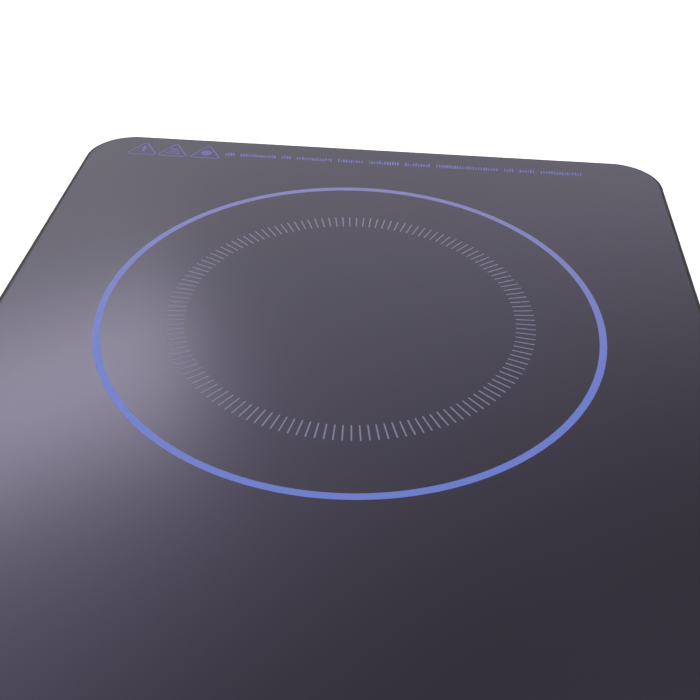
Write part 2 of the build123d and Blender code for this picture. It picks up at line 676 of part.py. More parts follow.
def choke_core():
    """A coated toroid over its plastic base."""
    x, y = CHOKE_AT
    core = Pos(x, y, CHOKE_MIDDLE) * extrude(Circle(12.9) - Circle(7.6), 5.0, both=True)
    base = rod(9.0, BOARD_TOP, BOARD_TOP + 1.2, x, y) + rod(2.5, BOARD_TOP, CHOKE_MIDDLE + 5, x, y)
    return group([core, base])


def choke_winding():
    """One copper ring for each turn, in two halves with a gap between them."""
    x, y = CHOKE_AT
    turns = []
    for i in range(CHOKE_TURNS):
        if i % (CHOKE_TURNS // 2) == 0:
            continue
        wrap = Box(9.0, 1.9, 13.6) - Box(5.5, 3.0, 10.0)
        place = Pos(x, y, CHOKE_MIDDLE) * Rot(0, 0, i * 360 / CHOKE_TURNS) * Pos(10.25, 0, 0)
        turns.append(place * wrap)
    return group(turns)


def electrolytics():
    """Upright can capacitors with a vent cross in the top."""
    cans = []
    for x, y, radius, height in ((8, -80, 5, 16), (20, -80, 5, 16), (33, -82, 4, 12)):
        can = rod(radius, BOARD_TOP, BOARD_TOP + height, x, y)
        can = fillet(can.edges().sort_by(Axis.Z)[-1], 0.6)
        top = BOARD_TOP + height
        can -= block(x - radius * 0.6, x + radius * 0.6, y - 0.15, y + 0.15, top - 0.2, top + 1)
        can -= block(x - 0.15, x + 0.15, y - radius * 0.6, y + radius * 0.6, top - 0.2, top + 1)
        cans.append(can)
    return group(cans)


def transformer_core():
    x, y = TRANSFORMER_AT
    core = block(x - 10, x + 10, y - 3, y + 3, BOARD_TOP + 2, BOARD_TOP + 18)
    return core - block(x - 7, x + 7, y - 4, y + 4, BOARD_TOP + 5, BOARD_TOP + 15)


def transformer_winding():
    """The taped winding in the core's window, on a flanged plastic foot."""
    x, y = TRANSFORMER_AT
    winding = block(x - 7, x + 7, y - 7, y + 7, BOARD_TOP + 5, BOARD_TOP + 15)
    return fillet(winding.edges().filter_by(Axis.Z), 2.0)


def transformer_foot():
    x, y = TRANSFORMER_AT
    foot_plate = block(x - 9, x + 9, y - 9, y + 9, BOARD_TOP, BOARD_TOP + 2)
    cheeks = [
        block(x - 6, x + 6, min(y + side * 4, y + side * 6), max(y + side * 4, y + side * 6),
              BOARD_TOP + 2, BOARD_TOP + 5)
        for side in (-1, 1)
    ]
    return foot_plate + cheeks


def fuse():
    """A glass tube fuse with metal end caps."""
    x, y = FUSE_AT
    lying = Pos(x, y, BOARD_TOP + 5.5) * Rot(0, 90, 0)
    glass = lying * extrude(Circle(2.2), 7, both=True)
    caps = [lying * Pos(0, 0, side * 8) * extrude(Circle(2.6), 2, both=True) for side in (-1, 1)]
    return glass + caps


def fuse_clips():
    x, y = FUSE_AT
    z = BOARD_TOP + 5.5
    clips = []
    for middle in (x - 8, x + 8):
        clip = block(middle - 1.8, middle + 1.8, y - 3.4, y + 3.4, BOARD_TOP, z + 2.0)
        clip -= Pos(middle, y, z) * Rot(0, 90, 0) * extrude(Circle(2.65), 4, both=True)
        clip -= block(middle - 3, middle + 3, y - 1.9, y + 1.9, z, z + 4)
        clips.append(clip)
    return group(clips)


def varistor():
    x, y = VARISTOR_AT
    disc = Pos(x, y, BOARD_TOP + 9.5) * Rot(90, 0, 0) * extrude(Circle(7.5), 2.2, both=True)
    disc = fillet(disc.edges(), 1.2)
    return disc + [rod(0.4, BOARD_TOP, BOARD_TOP + 4, x + side * 3.5, y) for side in (-1, 1)]


def buzzer():
    x, y = BUZZER_AT
    can = rod(6.0, BOARD_TOP, BOARD_TOP + 8.5, x, y)
    can = fillet(can.edges().sort_by(Axis.Z)[-1], 0.6)
    return can - rod(1.0, BOARD_TOP + 7, BOARD_TOP + 10, x, y)


def board_sockets():
    """White wire-to-board sockets for the fan, the sensor and the ribbon."""
    sockets = []
    sizes = ((FAN_SOCKET_AT, 8.0, 6.0), (SENSOR_SOCKET_AT, 8.0, 6.0), (RIBBON_SOCKET_AT, 18.0, 5.5))
    for (x, y), width, depth in sizes:
        socket = Pos(x, y, BOARD_TOP + 3.5) * Box(width, depth, 7.0)
        sockets.append(socket - Pos(x, y, BOARD_TOP + 5.0) * Box(width - 1.6, depth - 1.6, 7.0))
    return group(sockets)


def coil_terminals():
    """Two brass studs on the board that take the coil's lugs."""
    return group([
        rod(4.5, BOARD_TOP, LUG_LOW, x, y) + rod(1.9, BOARD_TOP, BOARD_TOP + 12, x, y) for x, y in STUDS
    ])


def terminal_nuts():
    nuts = []
    for x, y in STUDS:
        nut = Pos(x, y, LUG_LOW + LUG_THICK) * extrude(RegularPolygon(4.0, 6), 3.2)
        nuts.append(nut - rod(1.95, BOARD_TOP, BOARD_TOP + 13, x, y))
    return group(nuts)


def crimped_lug(x, y):
    """A ring lug over a stud, with a barrel towards the front that grips the lead."""
    middle = LUG_LOW + LUG_THICK / 2
    lug = rod(4.2, LUG_LOW, LUG_LOW + LUG_THICK, x, y)
    lug += block(x - 1.9, x + 1.9, y - 9.5, y - 3, LUG_LOW, LUG_LOW + LUG_THICK)
    lug += rod_along((90, 0, 0), COIL_LEAD_RADIUS + 0.6, 4.0, (x, y - LEAD_START, middle))
    lug -= rod_along((90, 0, 0), COIL_LEAD_RADIUS, 8.0, (x, y - LEAD_START, middle))
    return lug - rod(2.0, LUG_LOW - 1, LUG_LOW + LUG_THICK + 1, x, y)


def under_coil(radius, turn, z):
    """A point below the coil, in polar terms about the zone's centre."""
    return (radius * cos(radians(turn)), ZONE_Y + radius * sin(radians(turn)), z)


def coil_leads():
    """Two sleeved leads with ring lugs, from the coil's underside down to the studs."""
    middle = LUG_LOW + LUG_THICK / 2
    outer_stud, inner_stud = STUDS
    outer_drop = (outer_stud[0], outer_stud[1] - LEAD_DROP)
    inner_drop = (inner_stud[0], inner_stud[1] - LEAD_DROP)
    outer_end = [
        under_coil(80, 202.5, CARRIER_TOP), under_coil(80, 202.5, 40), (*outer_drop, 40),
        (*outer_drop, middle), (outer_stud[0], outer_stud[1] - LEAD_START, middle),
    ]
    inner_end = [
        under_coil(31, 247.5, CARRIER_TOP), under_coil(31, 247.5, 42), (*inner_drop, 42),
        (*inner_drop, middle), (inner_stud[0], inner_stud[1] - LEAD_START, middle),
    ]
    leads = [lead(outer_end, COIL_LEAD_RADIUS, [8, 8, 6]), lead(inner_end, COIL_LEAD_RADIUS, [7, 7, 6])]
    return group(leads + [crimped_lug(x, y) for x, y in STUDS])


# Touch board

def touch_board():
    board = block(-TOUCH_WIDTH / 2, TOUCH_WIDTH / 2, TOUCH_FRONT, TOUCH_REAR, TOUCH_LOW, TOUCH_TOP)
    board = fillet(board.edges().filter_by(Axis.Z), 2.0)
    return board - [rod(1.6, TOUCH_LOW - 1, TOUCH_TOP + 1, x, y) for x, y in TOUCH_SCREWS]


def touch_screws():
    return group([
        screw(x, y, TOUCH_LOW, 6.0, 2.6, 1.8, 1.15, upwards=True) for x, y in TOUCH_SCREWS
    ])


def key_springs():
    """A conductive spring between the board and the glass for each touch key."""
    springs = []
    wire = 0.4
    low = TOUCH_TOP + wire
    high = GLASS_UNDER - wire
    for x in KEY_X:
        path = Helix((high - low) / 4, high - low, KEY_SPRING_RADIUS)
        start = Plane(origin=path @ 0, z_dir=path % 0)
        coil = sweep(start * Circle(wire), path=path, is_frenet=True)
        springs.append(Pos(x, KEY_Y, low) * coil)
    return group(springs)


def display_module():
    """Four seven-bar digits in one moulded block."""
    width, depth = DISPLAY_SIZE
    low = TOUCH_TOP
    high = GLASS_UNDER - 0.4
    body = block(-width / 2, width / 2, KEY_Y - depth / 2, KEY_Y + depth / 2, low, high)
    cuts = []
    deep = 0.5
    bar = 5.4
    thin = 1.0
    for i in range(4):
        x = (i - 1.5) * 12.0
        for y in (-6.2, 0.0, 6.2):
            cuts.append(block(x - bar / 2, x + bar / 2, KEY_Y + y - thin / 2, KEY_Y + y + thin / 2,
                              high - deep, high + 1))
        for side in (-1, 1):
            for y in (-3.1, 3.1):
                cx = x + side * (bar / 2 + 0.9)
                cuts.append(block(cx - thin / 2, cx + thin / 2, KEY_Y + y - 2.3, KEY_Y + y + 2.3,
                                  high - deep, high + 1))
    return body - cuts


def key_lamps():
    """A small lamp beside each touch key, behind the glass."""
    return group([
        block(x - 1.6, x + 1.6, KEY_Y + 7.5, KEY_Y + 9.5, TOUCH_TOP, TOUCH_TOP + 1.4) for x in KEY_X
    ])


def control_chip():
    x, y = 62.0, -144.0
    body = block(x - 5, x + 5, y - 5, y + 5, TOUCH_LOW - 1.6, TOUCH_LOW - 0.2)
    pins = []
    for i in range(8):
        along = -4.2 + i * 1.2
        for side in (-1, 1):
            pins.append(block(x + side * 5.8 - 0.8, x + side * 5.8 + 0.8, y + along - 0.2, y + along + 0.2,
                              TOUCH_LOW - 0.5, TOUCH_LOW))
    return body + pins


def ribbon_cable():
    """A flat cable from the power board's front edge up to the touch board's underside."""
    x, y = RIBBON_SOCKET_AT
    path = FilletPolyline(
        (x, y, BOARD_TOP + 1.5), (x, y, 30), (x, -112, 36), (x, -140, 38), (x, -140, TOUCH_LOW),
        radius=[7, 30, 8])
    start = Plane(origin=path @ 0, x_dir=(1, 0, 0), z_dir=path % 0)
    return sweep(start * Rectangle(15, 1.0), path=path)


def fan_lead():
    """From the motor, along the strut's groove, over the board's edge into its socket."""
    x, y = FAN_SOCKET_AT
    low = FAN_LOW + 0.9 + FAN_LEAD_RADIUS
    path = [
        (x, FAN_Y - 13, low), (x, FAN_Y - 45, low), (x, FAN_Y - 47, 28), (x, y, 28), (x, y, BOARD_TOP + 1.5),
    ]
    return lead(path, FAN_LEAD_RADIUS, [5, 3.5, 3.5])


def sensor_lead():
    """Out through the cup's floor, over the heat sink and down into its socket."""
    x, y = SENSOR_SOCKET_AT
    low = SENSOR_GUIDE_LOW - 2.0
    path = [
        (0, ZONE_Y, SLEEVE_LOW + 1), (0, ZONE_Y, low), (24, 12, low), (x, y, low - 1.5),
        (x, y, BOARD_TOP + 1.5),
    ]
    sleeve = tube(1.4, 0.95, SLEEVE_LOW + 1, SLEEVE_LOW + 5, 0, ZONE_Y)
    sleeve += tube(1.4, 0.9, SLEEVE_LOW, SLEEVE_LOW + 1, 0, ZONE_Y)
    return lead(path, 0.9, [3, 25, 8]) + sleeve


def build_all():
    nodes = {
        "glass_plate": glass_plate(),
        "glass_seal": glass_seal(),
        "top_frame": top_frame(),
        "bottom_tray": bottom_tray(),
        "housing_screws": housing_screws(),
        "rating_plate": rating_plate(),
        "cord_gland": cord_gland(),
        "fan_frame": fan_frame(),
        "fan_bearing": fan_bearing(),
        "fan_stator": fan_stator(),
        "fan_windings": fan_windings(),
        "fan_rotor": fan_rotor(),
        "rotor_magnet": rotor_magnet(),
        "fan_shaft": fan_shaft(),
        "fan_screws": fan_screws(),
        "coil_carrier": coil_carrier(),
        "litz_coil": litz_coil(),
        "ferrite_bars": ferrite_bars(),
        "mica_disc": mica_disc(),
        "coil_screws": coil_screws(),
        "sensor_holder": sensor_holder(),
        "sensor_cap": sensor_cap(),
        "thermistor": thermistor(),
        "sensor_spring": sensor_spring(),
        "power_board": power_board(),
        "board_screws": board_screws(),
        "heat_sink": heat_sink(),
        "power_transistor": power_transistor(),
        "bridge_rectifier": bridge_rectifier(),
        "resonant_capacitor": film_capacitor(-6, 26, -30, -14, 19.5),
        "smoothing_capacitor": film_capacitor(-40, -8, -12, 2, 19.0),
        "mains_capacitor": film_capacitor(2, 28, -56, -46, 16.0),
        "choke_core": choke_core(),
        "choke_winding": choke_winding(),
        "electrolytics": electrolytics(),
        "transformer_core": transformer_core(),
        "transformer_winding": transformer_winding(),
        "transformer_foot": transformer_foot(),
        "fuse": fuse(),
        "fuse_clips": fuse_clips(),
        "varistor": varistor(),
        "buzzer": buzzer(),
        "board_sockets": board_sockets(),
        "coil_terminals": coil_terminals(),
        "terminal_nuts": terminal_nuts(),
        "coil_leads": coil_leads(),
        "touch_board": touch_board(),
        "touch_screws": touch_screws(),
        "key_springs": key_springs(),
        "display_module": display_module(),
        "key_lamps": key_lamps(),
        "control_chip": control_chip(),
        "ribbon_cable": ribbon_cable(),
        "fan_lead": fan_lead(),
        "sensor_lead": sensor_lead(),
    }
    sides = {-1: "left", 1: "right"}
    ends = {-1: "front", 1: "rear"}
    for x, y in foot_places():
        name = f"foot_{ends[int(y / abs(y))]}_{sides[int(x / abs(x))]}"
        nodes[name] = foot(x, y)
    return nodes


os.makedirs("parts", exist_ok=True)
for node_name, node_shape in build_all().items():
    node_shape.label = node_name
    export_step(node_shape, f"parts/{node_name}.step")
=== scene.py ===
import bmesh
import bpy
from math import atan2, cos, pi, radians, sin
from mathutils import Matrix, Vector


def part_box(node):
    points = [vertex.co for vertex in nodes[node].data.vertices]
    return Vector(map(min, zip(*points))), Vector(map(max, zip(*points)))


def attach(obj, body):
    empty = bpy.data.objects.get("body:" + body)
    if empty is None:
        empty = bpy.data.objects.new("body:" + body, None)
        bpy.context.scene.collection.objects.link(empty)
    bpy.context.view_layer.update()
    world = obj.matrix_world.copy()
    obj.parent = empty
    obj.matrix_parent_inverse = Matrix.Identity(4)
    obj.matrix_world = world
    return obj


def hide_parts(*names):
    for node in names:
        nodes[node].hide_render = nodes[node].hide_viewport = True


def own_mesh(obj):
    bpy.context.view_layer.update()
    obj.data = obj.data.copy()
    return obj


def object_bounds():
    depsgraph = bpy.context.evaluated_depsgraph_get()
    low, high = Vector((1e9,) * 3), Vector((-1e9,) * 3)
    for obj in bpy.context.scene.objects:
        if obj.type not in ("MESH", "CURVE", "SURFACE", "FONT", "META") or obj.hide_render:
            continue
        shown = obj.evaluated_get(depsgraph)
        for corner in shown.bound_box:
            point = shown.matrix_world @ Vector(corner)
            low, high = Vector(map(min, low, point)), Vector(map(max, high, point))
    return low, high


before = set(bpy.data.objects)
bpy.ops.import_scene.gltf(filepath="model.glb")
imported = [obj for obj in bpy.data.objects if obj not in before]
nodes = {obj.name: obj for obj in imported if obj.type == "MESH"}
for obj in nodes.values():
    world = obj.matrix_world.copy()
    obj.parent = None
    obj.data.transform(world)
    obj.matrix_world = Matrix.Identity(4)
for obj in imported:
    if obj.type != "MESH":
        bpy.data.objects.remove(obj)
cad_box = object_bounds()
mm = 0.001


# Bottom tray: one deep moulding in black flame-retardant plastic. Its walls lean out for release
# from the mould, and the outside has the fine spark-eroded grain of the tool.

def new_finish(name, colour, roughness, metallic=0.0):
    """A material whose even values sit on the shader's own sockets."""
    finish = bpy.data.materials.new(name)
    finish.use_nodes = True
    shader = finish.node_tree.nodes["Principled BSDF"]
    shader.inputs["Base Color"].default_value = (*colour, 1.0)
    shader.inputs["Roughness"].default_value = roughness
    shader.inputs["Metallic"].default_value = metallic
    return finish


def shader_of(finish):
    return finish.node_tree.nodes["Principled BSDF"]


def add_noise(finish, grains_per_metre, detail=3.0, stretch=(1.0, 1.0, 1.0)):
    """Noise laid through the piece in its own coordinates."""
    tree = finish.node_tree
    place = tree.nodes.new("ShaderNodeTexCoord")
    mapping = tree.nodes.new("ShaderNodeMapping")
    mapping.inputs["Scale"].default_value = stretch
    noise = tree.nodes.new("ShaderNodeTexNoise")
    noise.inputs["Scale"].default_value = grains_per_metre
    noise.inputs["Detail"].default_value = detail
    tree.links.new(place.outputs["Object"], mapping.inputs["Vector"])
    tree.links.new(mapping.outputs["Vector"], noise.inputs["Vector"])
    return noise.outputs["Fac"]


def tint_by(finish, factor, colours, spread=(0.35, 0.65)):
    """The colour drifts between two tones where the factor does."""
    ramp = finish.node_tree.nodes.new("ShaderNodeValToRGB")
    for stop, where, colour in zip(ramp.color_ramp.elements, spread, colours):
        stop.position = where
        stop.color = (*colour, 1.0)
    finish.node_tree.links.new(factor, ramp.inputs["Fac"])
    finish.node_tree.links.new(ramp.outputs["Color"], shader_of(finish).inputs["Base Color"])


def roughen_by(finish, factor, low, high):
    """The roughness wanders between two values where the factor does."""
    spread = finish.node_tree.nodes.new("ShaderNodeMapRange")
    spread.inputs["From Min"].default_value = 0.3
    spread.inputs["From Max"].default_value = 0.7
    spread.inputs["To Min"].default_value = low
    spread.inputs["To Max"].default_value = high
    finish.node_tree.links.new(factor, spread.inputs["Value"])
    finish.node_tree.links.new(spread.outputs["Result"], shader_of(finish).inputs["Roughness"])


def emboss_by(finish, factor, height, strength=1.0):
    """The surface rises and falls with the factor, by up to a height in metres."""
    bump = finish.node_tree.nodes.new("ShaderNodeBump")
    bump.inputs["Strength"].default_value = strength
    bump.inputs["Distance"].default_value = height
    finish.node_tree.links.new(factor, bump.inputs["Height"])
    finish.node_tree.links.new(bump.outputs["Normal"], shader_of(finish).inputs["Normal"])


def dress(finish, *names):
    """A finish goes on CAD pieces through their own material slots."""
    for name in names:
        for place in nodes[name].material_slots:
            place.link = "OBJECT"
            place.material = finish


tray_plastic = new_finish("tray plastic", (0.020, 0.020, 0.022), 0.52)
tint_by(tray_plastic, add_noise(tray_plastic, 9, 4), ((0.015, 0.015, 0.0165), (0.026, 0.026, 0.028)))
roughen_by(tray_plastic, add_noise(tray_plastic, 28, 4), 0.44, 0.60)
emboss_by(tray_plastic, add_noise(tray_plastic, 1700, 2), 0.00012)
dress(tray_plastic, "bottom_tray")


# Rubber feet: four moulded rubber buttons, each pulled through a hole in the floor by its stem.
# Rubber dulls and picks up pale dust at the sole, so the tone drifts more than the plastic's.

foot_rubber = new_finish("foot rubber", (0.030, 0.030, 0.030), 0.85)
tint_by(foot_rubber, add_noise(foot_rubber, 160, 5), ((0.020, 0.020, 0.020), (0.052, 0.050, 0.047)))
roughen_by(foot_rubber, add_noise(foot_rubber, 90), 0.72, 0.95)
emboss_by(foot_rubber, add_noise(foot_rubber, 2600), 0.00008)
dress(foot_rubber, "foot_front_left", "foot_front_right", "foot_rear_left", "foot_rear_right")


# Cord gland: a grooved bush of softer rubber, pressed into the flat pad of the rear wall.
# It has the slight shine of a pressed part that is never walked on.

gland_rubber = new_finish("gland rubber", (0.024, 0.024, 0.025), 0.62)
roughen_by(gland_rubber, add_noise(gland_rubber, 240), 0.52, 0.74)
emboss_by(gland_rubber, add_noise(gland_rubber, 3200), 0.00005)
dress(gland_rubber, "cord_gland")


# Rating foil: a thin self-adhesive aluminium foil on the underside. It carries a printed frame and
# rows of blank fields here, and is brushed along its length.

rating_foil = new_finish("rating foil", (0.62, 0.63, 0.64), 0.34, metallic=1.0)
brushed = add_noise(rating_foil, 520, 3, (0.04, 1.0, 1.0))
tint_by(rating_foil, brushed, ((0.54, 0.55, 0.56), (0.70, 0.71, 0.72)))
roughen_by(rating_foil, brushed, 0.26, 0.42)
emboss_by(rating_foil, brushed, 0.00002)
dress(rating_foil, "rating_plate")


# Blank fields of the foil: a printed border and rows of empty bars in flat black ink, standing
# a few hundredths above the metal.

def lay_slab(builder, outline, low, high):
    """A flat slab on a convex outline that runs anticlockwise."""
    bottom = [builder.verts.new((x, y, low)) for x, y in outline]
    top = [builder.verts.new((x, y, high)) for x, y in outline]
    builder.faces.new(list(reversed(bottom)))
    builder.faces.new(top)
    count = len(outline)
    for i in range(count):
        j = (i + 1) % count
        builder.faces.new((bottom[i], bottom[j], top[j], top[i]))


def lay_bar(builder, x0, x1, y0, y1, low, high):
    """A flat bar between two opposite corners."""
    corners = [(x0, y0), (x1, y0), (x1, y1), (x0, y1)]
    lay_slab(builder, corners, low, high)


def keep_piece(name, mesh):
    """A mesh becomes a piece of the object that rides on the hob."""
    piece = bpy.data.objects.new(name, mesh)
    bpy.context.scene.collection.objects.link(piece)
    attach(piece, "hob")
    return piece


def close_mesh(builder, name, *finishes):
    """What was built by hand becomes a mesh whose faces point outwards."""
    mesh = bpy.data.meshes.new(name)
    bmesh.ops.recalc_face_normals(builder, faces=builder.faces)
    builder.to_mesh(mesh)
    builder.free()
    for finish in finishes:
        mesh.materials.append(finish)
    return mesh


foil_low, foil_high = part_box("rating_plate")
foil_ink = new_finish("foil ink", (0.03, 0.03, 0.032), 0.55)
roughen_by(foil_ink, add_noise(foil_ink, 700), 0.45, 0.65)
ink_thick = 0.02 * mm
builder = bmesh.new()
border = 0.4 * mm
inset = 2.5 * mm
west, east = foil_low.x + inset, foil_high.x - inset
south, north = foil_low.y + inset, foil_high.y - inset
ink_levels = (foil_low.z - ink_thick, foil_low.z)
for y in (south, north - border):
    lay_bar(builder, west, east, y, y + border, *ink_levels)
for x in (west, east - border):
    lay_bar(builder, x, x + border, south + border, north - border, *ink_levels)
row_count = 5
row_margin = 3 * mm
row_pitch = (north - south - 4 * mm) / row_count
field_height = 1.2 * mm
second_column = 32 * mm
for row in range(row_count):
    y = south + row_margin + row * row_pitch
    first_length = (23 - 3 * (row % 3)) * mm
    second_length = (20 - 4 * (row % 2)) * mm
    for x, length in ((west + row_margin, first_length), (west + second_column, second_length)):
        lay_bar(builder, x, x + length, y, y + field_height, *ink_levels)
foil_print = keep_piece("foil_print", close_mesh(builder, "foil_print", foil_ink))


# Fan: a square frame and a bladed wheel, both moulded in black glass-filled plastic, on a four-pole
# motor. The glass fibres show as faint streaks and clouds in the moulding.

fan_plastic = new_finish("fan plastic", (0.022, 0.022, 0.024), 0.42)
fibre_streaks = add_noise(fan_plastic, 240, 4, (1, 1, 0.3))
tint_by(fan_plastic, fibre_streaks, ((0.019, 0.019, 0.021), (0.027, 0.027, 0.029)))
roughen_by(fan_plastic, add_noise(fan_plastic, 90), 0.34, 0.52)
emboss_by(fan_plastic, add_noise(fan_plastic, 2200), 0.00004)
dress(fan_plastic, "fan_frame", "fan_rotor")

bearing_bronze = new_finish("sintered bronze", (0.42, 0.28, 0.13), 0.45, metallic=1.0)
tint_by(bearing_bronze, add_noise(bearing_bronze, 2400), ((0.33, 0.21, 0.09), (0.50, 0.34, 0.17)))
emboss_by(bearing_bronze, add_noise(bearing_bronze, 4200), 0.00006)
dress(bearing_bronze, "fan_bearing")

core_sheet = new_finish("core sheets", (0.30, 0.30, 0.32), 0.40, metallic=1.0)
sheet_lines = add_noise(core_sheet, 1900, 1, (0.01, 0.01, 1.0))
tint_by(core_sheet, sheet_lines, ((0.20, 0.20, 0.22), (0.38, 0.38, 0.40)))
emboss_by(core_sheet, sheet_lines, 0.00008)
dress(core_sheet, "fan_stator")

ring_magnet = new_finish("bonded magnet", (0.055, 0.052, 0.050), 0.70)
tint_by(ring_magnet, add_noise(ring_magnet, 900), ((0.040, 0.038, 0.037), (0.075, 0.071, 0.068)))
emboss_by(ring_magnet, add_noise(ring_magnet, 3000), 0.00005)
dress(ring_magnet, "rotor_magnet")

shaft_steel = new_finish("ground steel", (0.62, 0.62, 0.63), 0.16, metallic=1.0)
roughen_by(shaft_steel, add_noise(shaft_steel, 1500, 2, (1, 1, 0.02)), 0.10, 0.24)
dress(shaft_steel, "fan_shaft")

lead_red = new_finish("red lead sleeve", (0.36, 0.022, 0.018), 0.42)
tint_by(lead_red, add_noise(lead_red, 300), ((0.30, 0.018, 0.015), (0.42, 0.028, 0.022)))
emboss_by(lead_red, add_noise(lead_red, 1400), 0.00004)
dress(lead_red, "fan_lead")


# Enamelled copper: the fan's coils and the choke's rings are wound from round wire, so their faces
# are fine parallel ridges under a clear, slightly orange enamel.

enamelled_copper = new_finish("enamelled copper", (0.52, 0.19, 0.075), 0.30, metallic=1.0)
wire_ridges = add_noise(enamelled_copper, 1500, 1, (0.25, 0.25, 1.0))
tint_by(enamelled_copper, wire_ridges, ((0.38, 0.12, 0.045), (0.64, 0.26, 0.11)))
emboss_by(enamelled_copper, wire_ridges, 0.0001)
dress(enamelled_copper, "fan_windings", "choke_winding")


# Power board: green glass-epoxy laminate under a glossy mask. Broad fields of copper, with straight
# and slanting edges, show through the mask as lighter patches that stand a little proud.

board_mask = new_finish("board mask", (0.014, 0.080, 0.036), 0.30)
track_tree = board_mask.node_tree
track_place = track_tree.nodes.new("ShaderNodeTexCoord")
copper_fields = track_tree.nodes.new("ShaderNodeTexVoronoi")
copper_fields.voronoi_dimensions = "2D"
copper_fields.distance = "CHEBYCHEV"
copper_fields.inputs["Scale"].default_value = 210.0
field_tone = track_tree.nodes.new("ShaderNodeSeparateColor")
track_tree.links.new(track_place.outputs["Object"], copper_fields.inputs["Vector"])
track_tree.links.new(copper_fields.outputs["Color"], field_tone.inputs["Color"])
tint_by(board_mask, field_tone.outputs["Red"], ((0.014, 0.082, 0.036), (0.020, 0.108, 0.047)), (0.48, 0.54))
roughen_by(board_mask, add_noise(board_mask, 220), 0.22, 0.38)
emboss_by(board_mask, field_tone.outputs["Red"], 0.00003)
shader_of(board_mask).inputs["Coat Weight"].default_value = 0.4
dress(board_mask, "power_board", "touch_board")


# Solder joints: small bright cones where the leads of the board's parts come through the back. They
# stand in loose rows, one joint to each lead.

def new_tree(name, **sizes):
    """An empty geometry tree with a named number for each size."""
    tree = bpy.data.node_groups.new(name, "GeometryNodeTree")
    tree.interface.new_socket("Geometry", in_out="OUTPUT", socket_type="NodeSocketGeometry")
    for title, value in sizes.items():
        kind = "NodeSocketInt" if isinstance(value, int) else "NodeSocketFloat"
        socket = tree.interface.new_socket(title, in_out="INPUT", socket_type=kind)
        socket.default_value = value
    return tree, tree.nodes.new("NodeGroupInput"), tree.nodes.new("NodeGroupOutput")


def add_node(tree, kind, settings=None, **feeds):
    """A node with its settings, and each named socket fed by a link or by a plain value."""
    node = tree.nodes.new(kind)
    for title, value in (settings or {}).items():
        setattr(node, title, value)
    for title, value in feeds.items():
        socket = node.inputs[title.replace("_", " ")]
        if isinstance(value, bpy.types.NodeSocket):
            tree.links.new(value, socket)
        else:
            socket.default_value = value
    return node


def end_tree(tree, geometry, output, finish):
    """Every tree ends in real geometry that wears its finish."""
    real = add_node(tree, "GeometryNodeRealizeInstances", Geometry=geometry)
    dressed = add_node(tree, "GeometryNodeSetMaterial", Geometry=real.outputs["Geometry"], Material=finish)
    tree.links.new(dressed.outputs["Geometry"], output.inputs["Geometry"])


def grow_mesh(tree, name, **sizes):
    """The tree is run once with these sizes, and its result is kept as a plain mesh."""
    seed = bpy.data.objects.new(name, bpy.data.meshes.new(name))
    bpy.context.scene.collection.objects.link(seed)
    run = seed.modifiers.new("build", "NODES")
    run.node_group = tree
    for socket in tree.interface.items_tree:
        if socket.item_type == "SOCKET" and socket.in_out == "INPUT" and socket.name in sizes:
            run[socket.identifier] = sizes[socket.name]
    evaluated = seed.evaluated_get(bpy.context.evaluated_depsgraph_get())
    mesh = bpy.data.meshes.new_from_object(evaluated)
    mesh.name = name
    bpy.data.objects.remove(seed)
    return mesh


solder = new_finish("solder", (0.66, 0.67, 0.68), 0.28, metallic=1.0)
roughen_by(solder, add_noise(solder, 1800), 0.20, 0.42)
board_low, board_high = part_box("power_board")
lead_shift = 1.6 * mm
tree, given, output = new_tree(
    "solder joints", Columns=14, Rows=17, Width=100 * mm, Depth=130 * mm, Middle_Y=0.0, Level=0.0, Keep=0.5)
grid = add_node(tree, "GeometryNodeMeshGrid", Size_X=given.outputs["Width"], Size_Y=given.outputs["Depth"],
                Vertices_X=given.outputs["Columns"], Vertices_Y=given.outputs["Rows"])
jitter = add_node(tree, "FunctionNodeRandomValue", {"data_type": "FLOAT_VECTOR"}, Seed=4)
jitter.inputs[0].default_value = (-lead_shift, -lead_shift, 0.0)
jitter.inputs[1].default_value = (lead_shift, lead_shift, 0.0)
chance = add_node(tree, "FunctionNodeRandomValue", {"data_type": "BOOLEAN"},
                  Probability=given.outputs["Keep"], Seed=9)
chosen = [socket for socket in chance.outputs if socket.enabled][0]
shifted = add_node(tree, "GeometryNodeSetPosition", Geometry=grid.outputs["Mesh"], Offset=jitter.outputs[0])
cone = add_node(tree, "GeometryNodeMeshCone", Vertices=10, Radius_Top=0.3 * mm, Radius_Bottom=1.0 * mm,
                Depth=0.9 * mm)
hung = add_node(tree, "GeometryNodeTransform", Geometry=cone.outputs["Mesh"], Rotation=(pi, 0.0, 0.0))
joints = add_node(tree, "GeometryNodeInstanceOnPoints", Points=shifted.outputs["Geometry"],
                  Selection=chosen, Instance=hung.outputs["Geometry"])
place = add_node(tree, "ShaderNodeCombineXYZ", Y=given.outputs["Middle_Y"], Z=given.outputs["Level"])
moved = add_node(tree, "GeometryNodeTransform", Geometry=joints.outputs["Instances"],
                 Translation=place.outputs["Vector"])
end_tree(tree, moved.outputs["Geometry"], output, solder)
board_middle = (board_low + board_high) / 2
solder_mesh = grow_mesh(tree, "solder_joints", Middle_Y=board_middle.y, Level=board_low.z)
solder_joints = keep_piece("solder_joints", solder_mesh)


# Parts on the power board. Each finish is that of the bought component: extruded aluminium fins,
# black epoxy packages, film capacitors in glossy cases, a green-coated core, taped windings.

sink_metal = new_finish("extruded aluminium", (0.60, 0.61, 0.62), 0.36, metallic=1.0)
drawn_lines = add_noise(sink_metal, 900, 2, (1.0, 0.015, 1.0))
tint_by(sink_metal, drawn_lines, ((0.50, 0.51, 0.52), (0.68, 0.69, 0.70)))
emboss_by(sink_metal, drawn_lines, 0.00003)
dress(sink_metal, "heat_sink")

